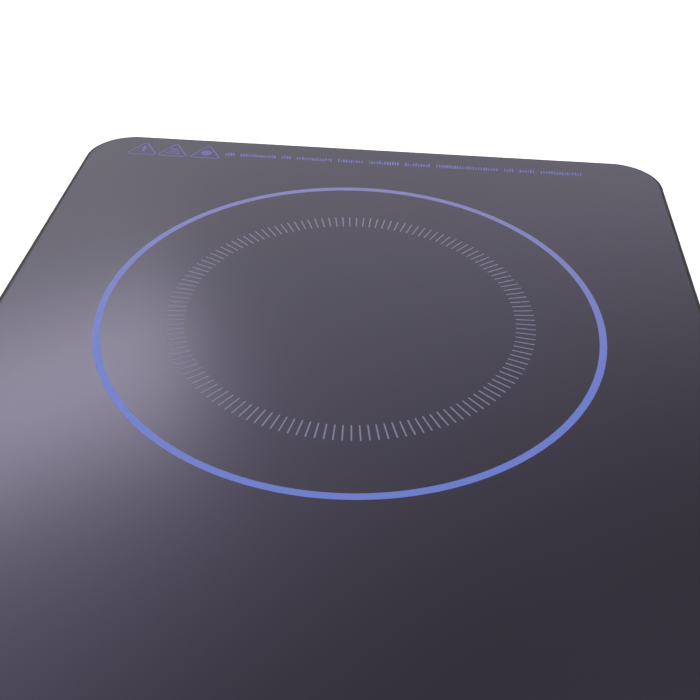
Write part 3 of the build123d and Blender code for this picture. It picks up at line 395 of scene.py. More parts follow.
component_epoxy = new_finish("black epoxy", (0.018, 0.018, 0.019), 0.55)
tint_by(component_epoxy, add_noise(component_epoxy, 900), ((0.014, 0.014, 0.015), (0.028, 0.028, 0.030)))
emboss_by(component_epoxy, add_noise(component_epoxy, 3400), 0.00003)
dress(component_epoxy, "power_transistor", "bridge_rectifier", "control_chip", "buzzer")

case_grey = new_finish("grey capacitor case", (0.16, 0.17, 0.19), 0.34)
roughen_by(case_grey, add_noise(case_grey, 140), 0.26, 0.42)
emboss_by(case_grey, add_noise(case_grey, 900), 0.00003)
dress(case_grey, "resonant_capacitor", "smoothing_capacitor")

case_yellow = new_finish("yellow capacitor case", (0.62, 0.36, 0.025), 0.36)
tint_by(case_yellow, add_noise(case_yellow, 60), ((0.56, 0.32, 0.020), (0.68, 0.40, 0.032)))
emboss_by(case_yellow, add_noise(case_yellow, 900), 0.00003)
dress(case_yellow, "mains_capacitor")

core_coat = new_finish("green core coating", (0.018, 0.10, 0.045), 0.46)
tint_by(core_coat, add_noise(core_coat, 500), ((0.014, 0.085, 0.037), (0.024, 0.12, 0.055)))
emboss_by(core_coat, add_noise(core_coat, 1600), 0.00008)
dress(core_coat, "choke_core")

winding_tape = new_finish("winding tape", (0.66, 0.42, 0.06), 0.28)
tape_laps = add_noise(winding_tape, 420, 1, (0.02, 0.02, 1.0))
tint_by(winding_tape, tape_laps, ((0.55, 0.34, 0.045), (0.74, 0.48, 0.08)))
emboss_by(winding_tape, tape_laps, 0.00006)
dress(winding_tape, "transformer_winding")

can_sleeve = new_finish("can sleeve", (0.020, 0.024, 0.055), 0.32)
roughen_by(can_sleeve, add_noise(can_sleeve, 260), 0.22, 0.42)
emboss_by(can_sleeve, add_noise(can_sleeve, 1100), 0.00004)
dress(can_sleeve, "electrolytics")

dipped_blue = new_finish("blue epoxy dip", (0.020, 0.075, 0.30), 0.33)
tint_by(dipped_blue, add_noise(dipped_blue, 220), ((0.016, 0.060, 0.25), (0.026, 0.090, 0.35)))
emboss_by(dipped_blue, add_noise(dipped_blue, 700), 0.00010)
dress(dipped_blue, "varistor")

fuse_tube = new_finish("fuse glass and caps", (0.58, 0.58, 0.56), 0.14)
tint_by(fuse_tube, add_noise(fuse_tube, 400), ((0.52, 0.52, 0.50), (0.64, 0.64, 0.62)))
roughen_by(fuse_tube, add_noise(fuse_tube, 400), 0.08, 0.22)
dress(fuse_tube, "fuse")

clip_brass = new_finish("plated brass", (0.62, 0.42, 0.15), 0.30, metallic=1.0)
tint_by(clip_brass, add_noise(clip_brass, 420), ((0.52, 0.34, 0.11), (0.70, 0.50, 0.20)))
roughen_by(clip_brass, add_noise(clip_brass, 900), 0.22, 0.44)
dress(clip_brass, "fuse_clips", "coil_terminals", "terminal_nuts")

nylon_white = new_finish("white nylon", (0.72, 0.70, 0.63), 0.48)
tint_by(nylon_white, add_noise(nylon_white, 120), ((0.66, 0.64, 0.57), (0.76, 0.74, 0.68)))
emboss_by(nylon_white, add_noise(nylon_white, 1800), 0.00003)
shader_of(nylon_white).inputs["Subsurface Weight"].default_value = 0.15
shader_of(nylon_white).inputs["Subsurface Radius"].default_value = (0.0015, 0.0012, 0.0008)
dress(nylon_white, "board_sockets", "key_lamps")

sintered_ferrite = new_finish("sintered ferrite", (0.045, 0.045, 0.048), 0.62)
tint_by(sintered_ferrite, add_noise(sintered_ferrite, 600, 5), ((0.032, 0.032, 0.034), (0.068, 0.067, 0.070)))
emboss_by(sintered_ferrite, add_noise(sintered_ferrite, 2400), 0.00006)
dress(sintered_ferrite, "transformer_core", "ferrite_bars")


# Coil carrier, sensor cup and transformer foot: dark glass-filled nylon that bears heat. The fibres
# leave short pale flecks near the gates.

carrier_nylon = new_finish("heat-proof nylon", (0.040, 0.040, 0.043), 0.56)
tint_by(carrier_nylon, add_noise(carrier_nylon, 420, 6), ((0.034, 0.034, 0.037), (0.054, 0.054, 0.057)),
        spread=(0.45, 0.72))
roughen_by(carrier_nylon, add_noise(carrier_nylon, 120), 0.48, 0.66)
emboss_by(carrier_nylon, add_noise(carrier_nylon, 2300), 0.00005)
dress(carrier_nylon, "coil_carrier", "sensor_holder", "transformer_foot")


# Coil: one length of stranded litz wire laid in a flat spiral on the carrier, from the eye out to the
# rim. Its strands are twisted round each other, which shows as slanting lines along the wire.

def add_math(tree, operation, *feeds):
    """An arithmetic node, with its terms in order, each a link or a plain number."""
    node = tree.nodes.new("ShaderNodeMath")
    node.operation = operation
    for socket, value in zip(node.inputs, feeds):
        if isinstance(value, bpy.types.NodeSocket):
            tree.links.new(value, socket)
        else:
            socket.default_value = value
    return node.outputs["Value"]


litz_copper = new_finish("litz copper", (0.50, 0.19, 0.08), 0.38, metallic=1.0)
litz_tree = litz_copper.node_tree
along = add_node(litz_tree, "ShaderNodeAttribute", {"attribute_name": "along_wire"})
around = add_node(litz_tree, "ShaderNodeAttribute", {"attribute_name": "around_wire"})
lay_length = 14 * mm
strand_count = 9.0
turn_along = add_math(litz_tree, "MULTIPLY", along.outputs["Fac"], 2 * pi / lay_length)
turn_both = add_math(litz_tree, "MULTIPLY_ADD", around.outputs["Fac"], 2 * pi * strand_count, turn_along)
strands = add_math(litz_tree, "SINE", turn_both)
tint_by(litz_copper, strands, ((0.24, 0.080, 0.032), (0.62, 0.27, 0.12)), spread=(0.0, 0.8))
emboss_by(litz_copper, strands, 0.00018)

coil_low, coil_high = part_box("litz_coil")
wire_half_wide = 1.42 * mm
wire_half_high = (coil_high.z - coil_low.z) / 2 - 0.02 * mm
wire_inset = 1.5 * mm
eye_radius = 22 * mm
wound_wire, given, output = new_tree(
    "wound wire", Turns=21.5, Start_Radius=23.5 * mm, End_Radius=86.5 * mm, Height=0.0,
    Half_Wide=1.4 * mm, Half_High=2.5 * mm, Centre_Y=36 * mm, Level=50 * mm)
tree = wound_wire
spiral = add_node(tree, "GeometryNodeCurveSpiral", Resolution=64, Rotations=given.outputs["Turns"],
                  Start_Radius=given.outputs["Start_Radius"], End_Radius=given.outputs["End_Radius"],
                  Height=given.outputs["Height"])
distance = add_node(tree, "GeometryNodeSplineParameter")
marked = add_node(tree, "GeometryNodeStoreNamedAttribute", {"data_type": "FLOAT", "domain": "POINT"},
                  Geometry=spiral.outputs["Curve"], Name="along_wire", Value=distance.outputs["Length"])
section = add_node(tree, "GeometryNodeCurvePrimitiveCircle", Resolution=12, Radius=1.0)
share = add_node(tree, "GeometryNodeSplineParameter")
rimmed = add_node(tree, "GeometryNodeStoreNamedAttribute", {"data_type": "FLOAT", "domain": "POINT"},
                  Geometry=section.outputs["Curve"], Name="around_wire", Value=share.outputs["Factor"])
flat_scale = add_node(tree, "ShaderNodeCombineXYZ", X=given.outputs["Half_Wide"],
                      Y=given.outputs["Half_High"], Z=1.0)
oval = add_node(tree, "GeometryNodeTransform", Geometry=rimmed.outputs["Geometry"],
                Scale=flat_scale.outputs["Vector"])
upright = add_node(tree, "GeometryNodeSetCurveNormal", {"mode": "Z_UP"}, Curve=marked.outputs["Geometry"])
wire = add_node(tree, "GeometryNodeCurveToMesh", Curve=upright.outputs["Curve"],
                Profile_Curve=oval.outputs["Geometry"], Fill_Caps=True)
rounded = add_node(tree, "GeometryNodeSetShadeSmooth", Geometry=wire.outputs["Mesh"])
centre = add_node(tree, "ShaderNodeCombineXYZ", Y=given.outputs["Centre_Y"], Z=given.outputs["Level"])
moved = add_node(tree, "GeometryNodeTransform", Geometry=rounded.outputs["Geometry"],
                 Translation=centre.outputs["Vector"])
end_tree(tree, moved.outputs["Geometry"], output, litz_copper)
coil_middle = (coil_low + coil_high) / 2
zone_y = coil_middle.y
coil_radius = (coil_high.x - coil_low.x) / 2
coil_mesh = grow_mesh(
    wound_wire, "wound_coil", Start_Radius=eye_radius + wire_inset, End_Radius=coil_radius - wire_inset,
    Half_Wide=wire_half_wide, Half_High=wire_half_high, Centre_Y=coil_middle.y, Level=coil_middle.z)
wound_coil = keep_piece("wound_coil", coil_mesh)
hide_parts("litz_coil")


# Mica disc: pressed mica flakes in a tan binder, laid loose over the coil to keep the glass's heat
# off it. The flakes glint and differ in tone.

mica_flakes = new_finish("pressed mica", (0.44, 0.36, 0.22), 0.34)
flake_cells = mica_flakes.node_tree.nodes.new("ShaderNodeTexVoronoi")
flake_cells.inputs["Scale"].default_value = 420.0
flake_place = mica_flakes.node_tree.nodes.new("ShaderNodeTexCoord")
mica_flakes.node_tree.links.new(flake_place.outputs["Object"], flake_cells.inputs["Vector"])
tint_by(mica_flakes, flake_cells.outputs["Color"], ((0.34, 0.27, 0.15), (0.56, 0.47, 0.31)))
roughen_by(mica_flakes, flake_cells.outputs["Distance"], 0.22, 0.46)
dress(mica_flakes, "mica_disc")


# Coil and sensor leads: white silicone sleeve over fibreglass, slightly dusty and soft. The flat
# ribbon between the two boards is the same off-white.

silicone_sleeve = new_finish("silicone sleeve", (0.62, 0.60, 0.54), 0.58)
tint_by(silicone_sleeve, add_noise(silicone_sleeve, 260), ((0.54, 0.52, 0.46), (0.68, 0.66, 0.60)))
emboss_by(silicone_sleeve, add_noise(silicone_sleeve, 1900), 0.00006)
dress(silicone_sleeve, "coil_leads", "sensor_lead", "ribbon_cable")


# Heat sensor: a white ceramic cap on a wound steel spring, with a small glass bead bonded inside.
# The cap is fired, so it is hard and only faintly mottled.

cap_ceramic = new_finish("cap ceramic", (0.74, 0.72, 0.67), 0.38)
tint_by(cap_ceramic, add_noise(cap_ceramic, 700, 5), ((0.68, 0.66, 0.61), (0.78, 0.76, 0.72)))
emboss_by(cap_ceramic, add_noise(cap_ceramic, 2600), 0.00003)
dress(cap_ceramic, "sensor_cap")

bead_glass = new_finish("bead glass", (0.46, 0.12, 0.045), 0.12)
tint_by(bead_glass, add_noise(bead_glass, 900), ((0.38, 0.09, 0.035), (0.54, 0.15, 0.060)))
shader_of(bead_glass).inputs["Coat Weight"].default_value = 0.6
dress(bead_glass, "thermistor")

spring_wire = new_finish("spring wire", (0.50, 0.50, 0.51), 0.26, metallic=1.0)
roughen_by(spring_wire, add_noise(spring_wire, 1500), 0.18, 0.36)
emboss_by(spring_wire, add_noise(spring_wire, 2600, 2, (1, 1, 0.2)), 0.00002)
dress(spring_wire, "key_springs")


# Sensor spring: six turns of spring steel between the cup's floor and the cap. A pan on a glass that
# gives a little presses the cap down, and the spring's turns close up by as much.

seat_low, seat_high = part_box("sensor_spring")
spring_half_wire = 0.45 * mm
spring_radius = (seat_high.x - seat_low.x) / 2 - spring_half_wire
spring_length = seat_high.z - seat_low.z
spring_mesh = grow_mesh(
    wound_wire, "wound_spring", Turns=6.0, Start_Radius=spring_radius, End_Radius=spring_radius,
    Height=spring_length - 2 * spring_half_wire, Half_Wide=spring_half_wire, Half_High=spring_half_wire,
    Centre_Y=zone_y, Level=seat_low.z + spring_half_wire)
spring_mesh.materials.clear()
spring_mesh.materials.append(spring_wire)
wound_spring = keep_piece("wound_spring", spring_mesh)
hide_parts("sensor_spring")
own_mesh(wound_spring)


# Display block: black moulded segments under a smoked window, right behind the glass.

display_black = new_finish("display block", (0.012, 0.012, 0.014), 0.22)
roughen_by(display_black, add_noise(display_black, 420), 0.16, 0.30)
emboss_by(display_black, add_noise(display_black, 1600), 0.00002)
dress(display_black, "display_module")


# Screws: zinc-plated steel, pan heads with a cross recess. The plating is bright with a faint
# yellow-blue cast and is scuffed where the driver has turned.

screw_zinc = new_finish("zinc plating", (0.56, 0.56, 0.55), 0.32, metallic=1.0)
tint_by(screw_zinc, add_noise(screw_zinc, 700, 5), ((0.46, 0.47, 0.49), (0.66, 0.65, 0.60)))
roughen_by(screw_zinc, add_noise(screw_zinc, 1400, 4), 0.22, 0.46)
emboss_by(screw_zinc, add_noise(screw_zinc, 2600), 0.00003)
dress(screw_zinc, "housing_screws", "fan_screws", "coil_screws", "board_screws", "touch_screws")


# Top frame: the same black plastic as the tray, but from a finer tool, so it is a shade smoother.
# The bead of silicone on its flange holds the glass.

frame_plastic = new_finish("frame plastic", (0.020, 0.020, 0.022), 0.40)
tint_by(frame_plastic, add_noise(frame_plastic, 11, 4), ((0.016, 0.016, 0.0175), (0.025, 0.025, 0.027)))
roughen_by(frame_plastic, add_noise(frame_plastic, 34, 4), 0.32, 0.48)
emboss_by(frame_plastic, add_noise(frame_plastic, 2400), 0.00006)
dress(frame_plastic, "top_frame")

seal_silicone = new_finish("silicone bead", (0.035, 0.035, 0.038), 0.50)
roughen_by(seal_silicone, add_noise(seal_silicone, 160), 0.40, 0.62)
emboss_by(seal_silicone, add_noise(seal_silicone, 500), 0.00012)
dress(seal_silicone, "glass_seal")


# Glass plate: one sheet of smoke-grey glass ceramic, 4 mm thick, with rounded corners. Its edge is
# ground to a slope and a small round all the way, which leaves it duller and darker. The face has a
# soft hazy gloss with a violet cast, and is a little uneven where it was wiped.

def rounded_loop(half_x, half_y, corner, steps=16):
    """The outline of a rectangle with round corners, anticlockwise, as points."""
    points = []
    for quarter, (sign_x, sign_y) in enumerate(((1, 1), (-1, 1), (-1, -1), (1, -1))):
        for step in range(steps + 1):
            turn = radians(90 * quarter + 90 * step / steps)
            points.append((
                sign_x * (half_x - corner) + corner * cos(turn),
                sign_y * (half_y - corner) + corner * sin(turn),
            ))
    return points


glass_low, glass_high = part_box("glass_plate")
glass_half_x = (glass_high.x - glass_low.x) / 2
glass_half_y = (glass_high.y - glass_low.y) / 2
glass_corner = 22 * mm
print_thick = 0.03 * mm
edge_round = 0.6 * mm
edge_steps = 5
round_degrees = 84
face_margin = 1.2 * mm
slope_width = 1.1 * mm
slope_drop = 0.14 * mm
face_level = glass_high.z - print_thick

smoke_glass = new_finish("smoke glass", (0.010, 0.009, 0.012), 0.25)
glass_shader = shader_of(smoke_glass)
glass_shader.inputs["IOR"].default_value = 1.52
glass_shader.inputs["Specular IOR Level"].default_value = 0.80
glass_shader.inputs["Specular Tint"].default_value = (0.76, 0.69, 1.0, 1.0)
tint_by(smoke_glass, add_noise(smoke_glass, 5, 1), ((0.0090, 0.0082, 0.0110), (0.0115, 0.0102, 0.0135)))
roughen_by(smoke_glass, add_noise(smoke_glass, 11, 1, (1.0, 0.4, 1.0)), 0.235, 0.265)

ground_edge = new_finish("ground glass edge", (0.017, 0.016, 0.015), 0.58)
shader_of(ground_edge).inputs["Specular IOR Level"].default_value = 0.25
tint_by(ground_edge, add_noise(ground_edge, 70, 3), ((0.013, 0.012, 0.011), (0.022, 0.021, 0.020)))
roughen_by(ground_edge, add_noise(ground_edge, 500), 0.50, 0.66)
emboss_by(ground_edge, add_noise(ground_edge, 2600, 2), 0.00002)

profile = [(edge_round, glass_low.z), (0.3 * mm, glass_low.z + 0.12 * mm), (0.0, glass_low.z + edge_round)]
for step in range(edge_steps + 1):
    turn = radians(round_degrees * step / edge_steps)
    profile.append((edge_round * (1 - cos(turn)), face_level - slope_drop - edge_round * (1 - sin(turn))))
profile.append((edge_round + slope_width, face_level))
profile.append((edge_round + slope_width + face_margin, face_level))
builder = bmesh.new()
rows = []
for inset, level in profile:
    outline = rounded_loop(glass_half_x - inset, glass_half_y - inset, glass_corner - inset)
    rows.append([builder.verts.new((x, y, level)) for x, y in outline])
for lower, upper in zip(rows, rows[1:-1]):
    for i in range(len(lower)):
        j = (i + 1) % len(lower)
        builder.faces.new((lower[i], lower[j], upper[j], upper[i])).material_index = 1
for i in range(len(rows[-1])):
    j = (i + 1) % len(rows[-1])
    builder.faces.new((rows[-2][i], rows[-2][j], rows[-1][j], rows[-1][i]))
builder.faces.new(list(reversed(rows[0])))
builder.faces.new(rows[-1])
glass_mesh = close_mesh(builder, "glass_top", smoke_glass, ground_edge)
glass_mesh.shade_smooth()
glass_mesh.set_sharp_from_angle(angle=radians(30))
glass_top = keep_piece("glass_top", glass_mesh)
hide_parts("glass_plate")


# Zone ring: a band of blue enamel screen-printed on the glass and fired with it. Towards the rear it is
# painted a
# more lilac tone: a painted reflection that stands in for how the glass reflects and how the angle of view
# changes there.

def enamel(name, thin_tone):
    """Fired print, duller than the glass around it."""
    finish = new_finish(name, thin_tone, 0.50)
    roughen_by(finish, add_noise(finish, 300, 2), 0.44, 0.56)
    shader_of(finish).inputs["Specular IOR Level"].default_value = 0.35
    return finish


def paint_reflection_rearwards(finish, front_tone, rear_tone_with_reflection):
    """Painted reflection: the print takes another tone from the front of the zone to its rear, in place of
    the reflection and angle of view that change its look there.
    """
    tree = finish.node_tree
    place = tree.nodes.new("ShaderNodeTexCoord")
    split = tree.nodes.new("ShaderNodeSeparateXYZ")
    reach = tree.nodes.new("ShaderNodeMapRange")
    reach.inputs["From Min"].default_value = zone_y - 0.4 * zone_radius
    reach.inputs["From Max"].default_value = zone_y + zone_radius
    tree.links.new(place.outputs["Object"], split.inputs["Vector"])
    tree.links.new(split.outputs["Y"], reach.inputs["Value"])
    tint_by(finish, reach.outputs["Result"], (front_tone, rear_tone_with_reflection), spread=(0.0, 1.0))


def mottle(finish, thin_tone, thick_tone):
    """The print lies thinner in one place than in another."""
    tint_by(finish, add_noise(finish, 130, 3), (thin_tone, thick_tone))


def lay_arc(builder, centre, radius, stroke, start=0.0, sweep=360.0, steps=96):
    """A flat band that follows a circle, whole or in part, on the face of the glass."""
    whole = sweep >= 360.0
    count = steps if whole else steps + 1
    inner_low, outer_low, inner_high, outer_high = [], [], [], []
    for i in range(count):
        turn = radians(start + sweep * i / steps)
        for reach, low, high in ((radius - stroke / 2, inner_low, inner_high),
                                 (radius + stroke / 2, outer_low, outer_high)):
            x = centre[0] + reach * cos(turn)
            y = centre[1] + reach * sin(turn)
            low.append(builder.verts.new((x, y, face_level)))
            high.append(builder.verts.new((x, y, glass_high.z)))
    for i in range(count if whole else count - 1):
        j = (i + 1) % count
        builder.faces.new((inner_high[i], outer_high[i], outer_high[j], inner_high[j]))
        builder.faces.new((inner_low[j], outer_low[j], outer_low[i], inner_low[i]))
        builder.faces.new((outer_low[i], outer_low[j], outer_high[j], outer_high[i]))
        builder.faces.new((inner_high[i], inner_high[j], inner_low[j], inner_low[i]))
    if not whole:
        for i in (0, -1):
            builder.faces.new((inner_low[i], outer_low[i], outer_high[i], inner_high[i]))


zone_radius = 98.1 * mm
ring_stroke = 2.8 * mm
ring_blue = enamel("ring blue", (0.084, 0.117, 0.345))
# Painted reflection: the rear of the ring is painted more lilac than its front.
paint_reflection_rearwards(ring_blue, (0.084, 0.117, 0.345), (0.140, 0.132, 0.290))
builder = bmesh.new()
lay_arc(builder, (0.0, zone_y), zone_radius, ring_stroke, steps=256)
zone_ring = keep_piece("zone_ring", close_mesh(builder, "zone_ring", ring_blue))


# Tick ring: 144 short radial strokes inside the zone ring, in a thin greyish lilac enamel, one for
# each two and a half degrees.

tick_pale = enamel("tick pale", (0.13, 0.12, 0.19))
# Painted reflection: the ticks are painted lighter and more lilac towards the rear.
paint_reflection_rearwards(tick_pale, (0.126, 0.123, 0.185), (0.152, 0.137, 0.198))
tree, given, output = new_tree(
    "radial ticks", Count=144, Inner=65 * mm, Outer=72 * mm, Stroke=0.5 * mm, Low=0.0, High=1 * mm,
    Centre_Y=0.0)
span = add_math(tree, "SUBTRACT", given.outputs["Outer"], given.outputs["Inner"])
middle = add_math(tree, "MULTIPLY_ADD", span, 0.5, given.outputs["Inner"])
rise = add_math(tree, "SUBTRACT", given.outputs["High"], given.outputs["Low"])
level = add_math(tree, "MULTIPLY_ADD", rise, 0.5, given.outputs["Low"])
stroke_size = add_node(tree, "ShaderNodeCombineXYZ", X=span, Y=given.outputs["Stroke"], Z=rise)
tick = add_node(tree, "GeometryNodeMeshCube", Size=stroke_size.outputs["Vector"])
circle = add_node(tree, "GeometryNodeMeshCircle", Vertices=given.outputs["Count"], Radius=middle)
outwards = add_node(tree, "GeometryNodeInputPosition")
turned = add_node(tree, "FunctionNodeAlignRotationToVector", {"axis": "X"},
                  Vector=outwards.outputs["Position"])
strokes = add_node(tree, "GeometryNodeInstanceOnPoints", Points=circle.outputs["Mesh"],
                   Instance=tick.outputs["Mesh"], Rotation=turned.outputs["Rotation"])
centre = add_node(tree, "ShaderNodeCombineXYZ", Y=given.outputs["Centre_Y"], Z=level)
moved = add_node(tree, "GeometryNodeTransform", Geometry=strokes.outputs["Instances"],
                 Translation=centre.outputs["Vector"])
end_tree(tree, moved.outputs["Geometry"], output, tick_pale)
tick_mesh = grow_mesh(
    tree, "tick_ring", Count=144, Inner=64.8 * mm, Outer=72.5 * mm, Stroke=0.52 * mm, Low=face_level,
    High=glass_high.z, Centre_Y=zone_y)
tick_ring = keep_piece("tick_ring", tick_mesh)


# Caution signs: three outlined triangles near the rear left corner, in a violet enamel laid on
# thinly. Each has a plain mark inside: an upright bar, three level bars, and a disc.

def lay_stroke(builder, start, end, width):
    """A flat straight stroke between two points on the face of the glass."""
    run = Vector((end[0] - start[0], end[1] - start[1]))
    side = Vector((-run.y, run.x)).normalized() * width / 2
    corners = [
        (start[0] - side.x, start[1] - side.y), (end[0] - side.x, end[1] - side.y),
        (end[0] + side.x, end[1] + side.y), (start[0] + side.x, start[1] + side.y),
    ]
    lay_slab(builder, corners, face_level, glass_high.z)


def lay_disc(builder, centre, radius, steps=20):
    outline = [
        (centre[0] + radius * cos(2 * pi * i / steps), centre[1] + radius * sin(2 * pi * i / steps))
        for i in range(steps)
    ]
    lay_slab(builder, outline, face_level, glass_high.z)


def lay_triangle(builder, centre, width, height, corner, stroke):
    """An outlined triangle, point to the rear, with round corners."""
    x, y = centre
    apex = (x, y + height / 2)
    left = (x - width / 2, y - height / 2)
    right = (x + width / 2, y - height / 2)
    tips = (left, right, apex)
    slope = atan2(height, width / 2)
    bends = (slope, slope, pi - 2 * slope)
    runs = []
    for i, tip in enumerate(tips):
        back = Vector(tips[i - 1]) - Vector(tip)
        ahead = Vector(tips[(i + 1) % 3]) - Vector(tip)
        bisector = (back.normalized() + ahead.normalized()).normalized()
        middle = Vector(tip) + bisector * (corner / sin(bends[i] / 2))
        first = Vector(tip) + back.normalized() * (corner * cos(bends[i] / 2) / sin(bends[i] / 2))
        last = Vector(tip) + ahead.normalized() * (corner * cos(bends[i] / 2) / sin(bends[i] / 2))
        begin = atan2(first.y - middle.y, first.x - middle.x)
        sweep = 180 - bends[i] * 180 / pi
        lay_arc(builder, middle, corner, stroke, begin * 180 / pi, sweep, 10)
        runs.append((first, last))
    for i in range(3):
        lay_stroke(builder, runs[i][1], runs[(i + 1) % 3][0], stroke)


sign_violet = enamel("sign violet", (0.078, 0.075, 0.235))
mottle(sign_violet, (0.070, 0.067, 0.205), (0.086, 0.083, 0.265))
sign_width = 15.2 * mm
sign_height = 13.0 * mm
sign_stroke = 0.75 * mm
sign_y = glass_high.y - 12.3 * mm
builder = bmesh.new()
sign_places = [(glass_low.x + step * mm, sign_y) for step in (26.4, 41.6, 58.0)]
for centre in sign_places:
    lay_triangle(builder, centre, sign_width, sign_height, 1.1 * mm, sign_stroke)
bar_sign, level_sign, disc_sign = sign_places
lay_stroke(builder, (bar_sign[0], sign_y - 3.6 * mm), (bar_sign[0], sign_y + 2.4 * mm), 1.4 * mm)
lay_disc(builder, (disc_sign[0], sign_y - 1.4 * mm), 2.7 * mm)
for step in (-3.6, -1.6, 0.4):
    half = (3.4 - 0.4 * (step + 3.6)) * mm
    y = sign_y + step * mm
    lay_stroke(builder, (level_sign[0] - half, y), (level_sign[0] + half, y), 1.1 * mm)
caution_signs = keep_piece("caution_signs", close_mesh(builder, "caution_signs", sign_violet))


# Care line: where a line of small print would run along the rear edge, a row of blank upright
# strokes in groups, with no letters. Their widths and heights vary a little, as small print does.

line_violet = enamel("line violet", (0.098, 0.093, 0.250))
mottle(line_violet, (0.085, 0.081, 0.215), (0.111, 0.105, 0.285))
stroke_share = 0.66
tree, given, output = new_tree(
    "blank strokes", Count=7, Pitch=2.5 * mm, Start_X=0.0, Line_Y=0.0, Low=0.0, High=1 * mm, Height=3 * mm,
    Seed=1)
first = add_node(tree, "ShaderNodeCombineXYZ", X=given.outputs["Start_X"], Y=given.outputs["Line_Y"],
                 Z=given.outputs["Low"])
step_vector = add_node(tree, "ShaderNodeCombineXYZ", X=given.outputs["Pitch"])
line = add_node(tree, "GeometryNodeMeshLine", Count=given.outputs["Count"],
                Start_Location=first.outputs["Vector"], Offset=step_vector.outputs["Vector"])
rise = add_math(tree, "SUBTRACT", given.outputs["High"], given.outputs["Low"])
wide = add_math(tree, "MULTIPLY", given.outputs["Pitch"], stroke_share)
stroke_size = add_node(tree, "ShaderNodeCombineXYZ", X=wide, Y=given.outputs["Height"], Z=rise)
block = add_node(tree, "GeometryNodeMeshCube", Size=stroke_size.outputs["Vector"])
half_rise = add_math(tree, "MULTIPLY", rise, 0.5)
half_high = add_math(tree, "MULTIPLY", given.outputs["Height"], 0.5)
lift = add_node(tree, "ShaderNodeCombineXYZ", Y=half_high, Z=half_rise)
on_line = add_node(tree, "GeometryNodeTransform", Geometry=block.outputs["Mesh"],
                   Translation=lift.outputs["Vector"])
tall = add_node(tree, "FunctionNodeRandomValue", {"data_type": "FLOAT_VECTOR"}, Seed=given.outputs["Seed"])
tall.inputs[0].default_value = (0.55, 0.85, 1.0)
tall.inputs[1].default_value = (1.2, 1.3, 1.0)
row = add_node(tree, "GeometryNodeInstanceOnPoints", Points=line.outputs["Mesh"],
               Instance=on_line.outputs["Geometry"], Scale=tall.outputs[0])
end_tree(tree, row.outputs["Instances"], output, line_violet)
group_sizes = (4, 14, 4, 14, 10, 12, 10, 24, 4, 6, 16)
group_gap = 2
line_pitch = 1.27 * mm
line_height = 2.7 * mm
line_y = glass_high.y - 15.4 * mm
group_start = glass_low.x + 67.3 * mm
builder = bmesh.new()
for index, size in enumerate(group_sizes):
    strokes = grow_mesh(
        tree, "strokes", Count=size, Pitch=line_pitch, Start_X=group_start + line_pitch / 2,
        Line_Y=line_y, Low=face_level, High=glass_high.z, Height=line_height, Seed=index)
    builder.from_mesh(strokes)
    bpy.data.meshes.remove(strokes)
    group_start += (size + group_gap) * line_pitch
care_line = keep_piece("care_line", close_mesh(builder, "care_line", line_violet))


# Touch keys: thin printed rings at the front edge over the sensing springs, with plain signs for
# power, timer, less, more, lock and heat, and a window outline over the display block.

key_tone = enamel("key print", (0.20, 0.21, 0.36))
mottle(key_tone, (0.18, 0.19, 0.32), (0.22, 0.23, 0.40))
spring_low, spring_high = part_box("key_springs")
key_y = (spring_low.y + spring_high.y) / 2
far_key = spring_high.x - 5.4 * mm
key_step = 23 * mm
key_places = [(side * (far_key - i * key_step), key_y) for side in (-1, 1) for i in range(3)]
power, timer, less, lock, heat, more = key_places
key_radius = 8.2 * mm
hair_stroke = 0.35 * mm
sign_line = 0.6 * mm
bold_line = 0.7 * mm
arm = 3.2 * mm
builder = bmesh.new()
for place in key_places:
    lay_arc(builder, place, key_radius, hair_stroke, steps=72)
lay_arc(builder, power, arm, sign_line, 120, 300, 40)
lay_stroke(builder, (power[0], power[1] + 0.6 * mm), (power[0], power[1] + 4.4 * mm), sign_line)
lay_arc(builder, timer, 3.6 * mm, sign_line, steps=48)
lay_stroke(builder, timer, (timer[0], timer[1] + 2.5 * mm), 0.55 * mm)
lay_stroke(builder, timer, (timer[0] + 1.7 * mm, timer[1]), 0.55 * mm)
for place in (less, more):
    lay_stroke(builder, (place[0] - arm, place[1]), (place[0] + arm, place[1]), bold_line)
for side in (-1, 1):
    near, far = more[1] + side * bold_line / 2, more[1] + side * arm
    lay_stroke(builder, (more[0], near), (more[0], far), bold_line)
print_levels = (face_level, glass_high.z)
lay_bar(builder, lock[0] - 2.6 * mm, lock[0] + 2.6 * mm, lock[1] - arm, lock[1] + 0.6 * mm, *print_levels)
lay_arc(builder, (lock[0], lock[1] + 0.9 * mm), 1.8 * mm, sign_line, 0, 180, 24)
for step in (-2.2, 0.0, 2.2):
    lay_arc(builder, (heat[0] + (step - 0.7) * mm, heat[1] + 1.4 * mm), 1.6 * mm, 0.5 * mm, -60, 120, 16)
    lay_arc(builder, (heat[0] + (step + 0.9) * mm, heat[1] - 1.4 * mm), 1.6 * mm, 0.5 * mm, 120, 120, 16)
show_low, show_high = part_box("display_module")
for y in (show_low.y, show_high.y):
    lay_stroke(builder, (show_low.x, y), (show_high.x, y), hair_stroke)
for x in (show_low.x, show_high.x):
    lay_stroke(builder, (x, show_low.y + 0.2 * mm), (x, show_high.y - 0.2 * mm), hair_stroke)
touch_print = keep_piece("touch_print", close_mesh(builder, "touch_print", key_tone))


# Worktop: a plain pale floor that the feet stand on. It is a laminate with hardly any pattern, and it
# reaches past every view.

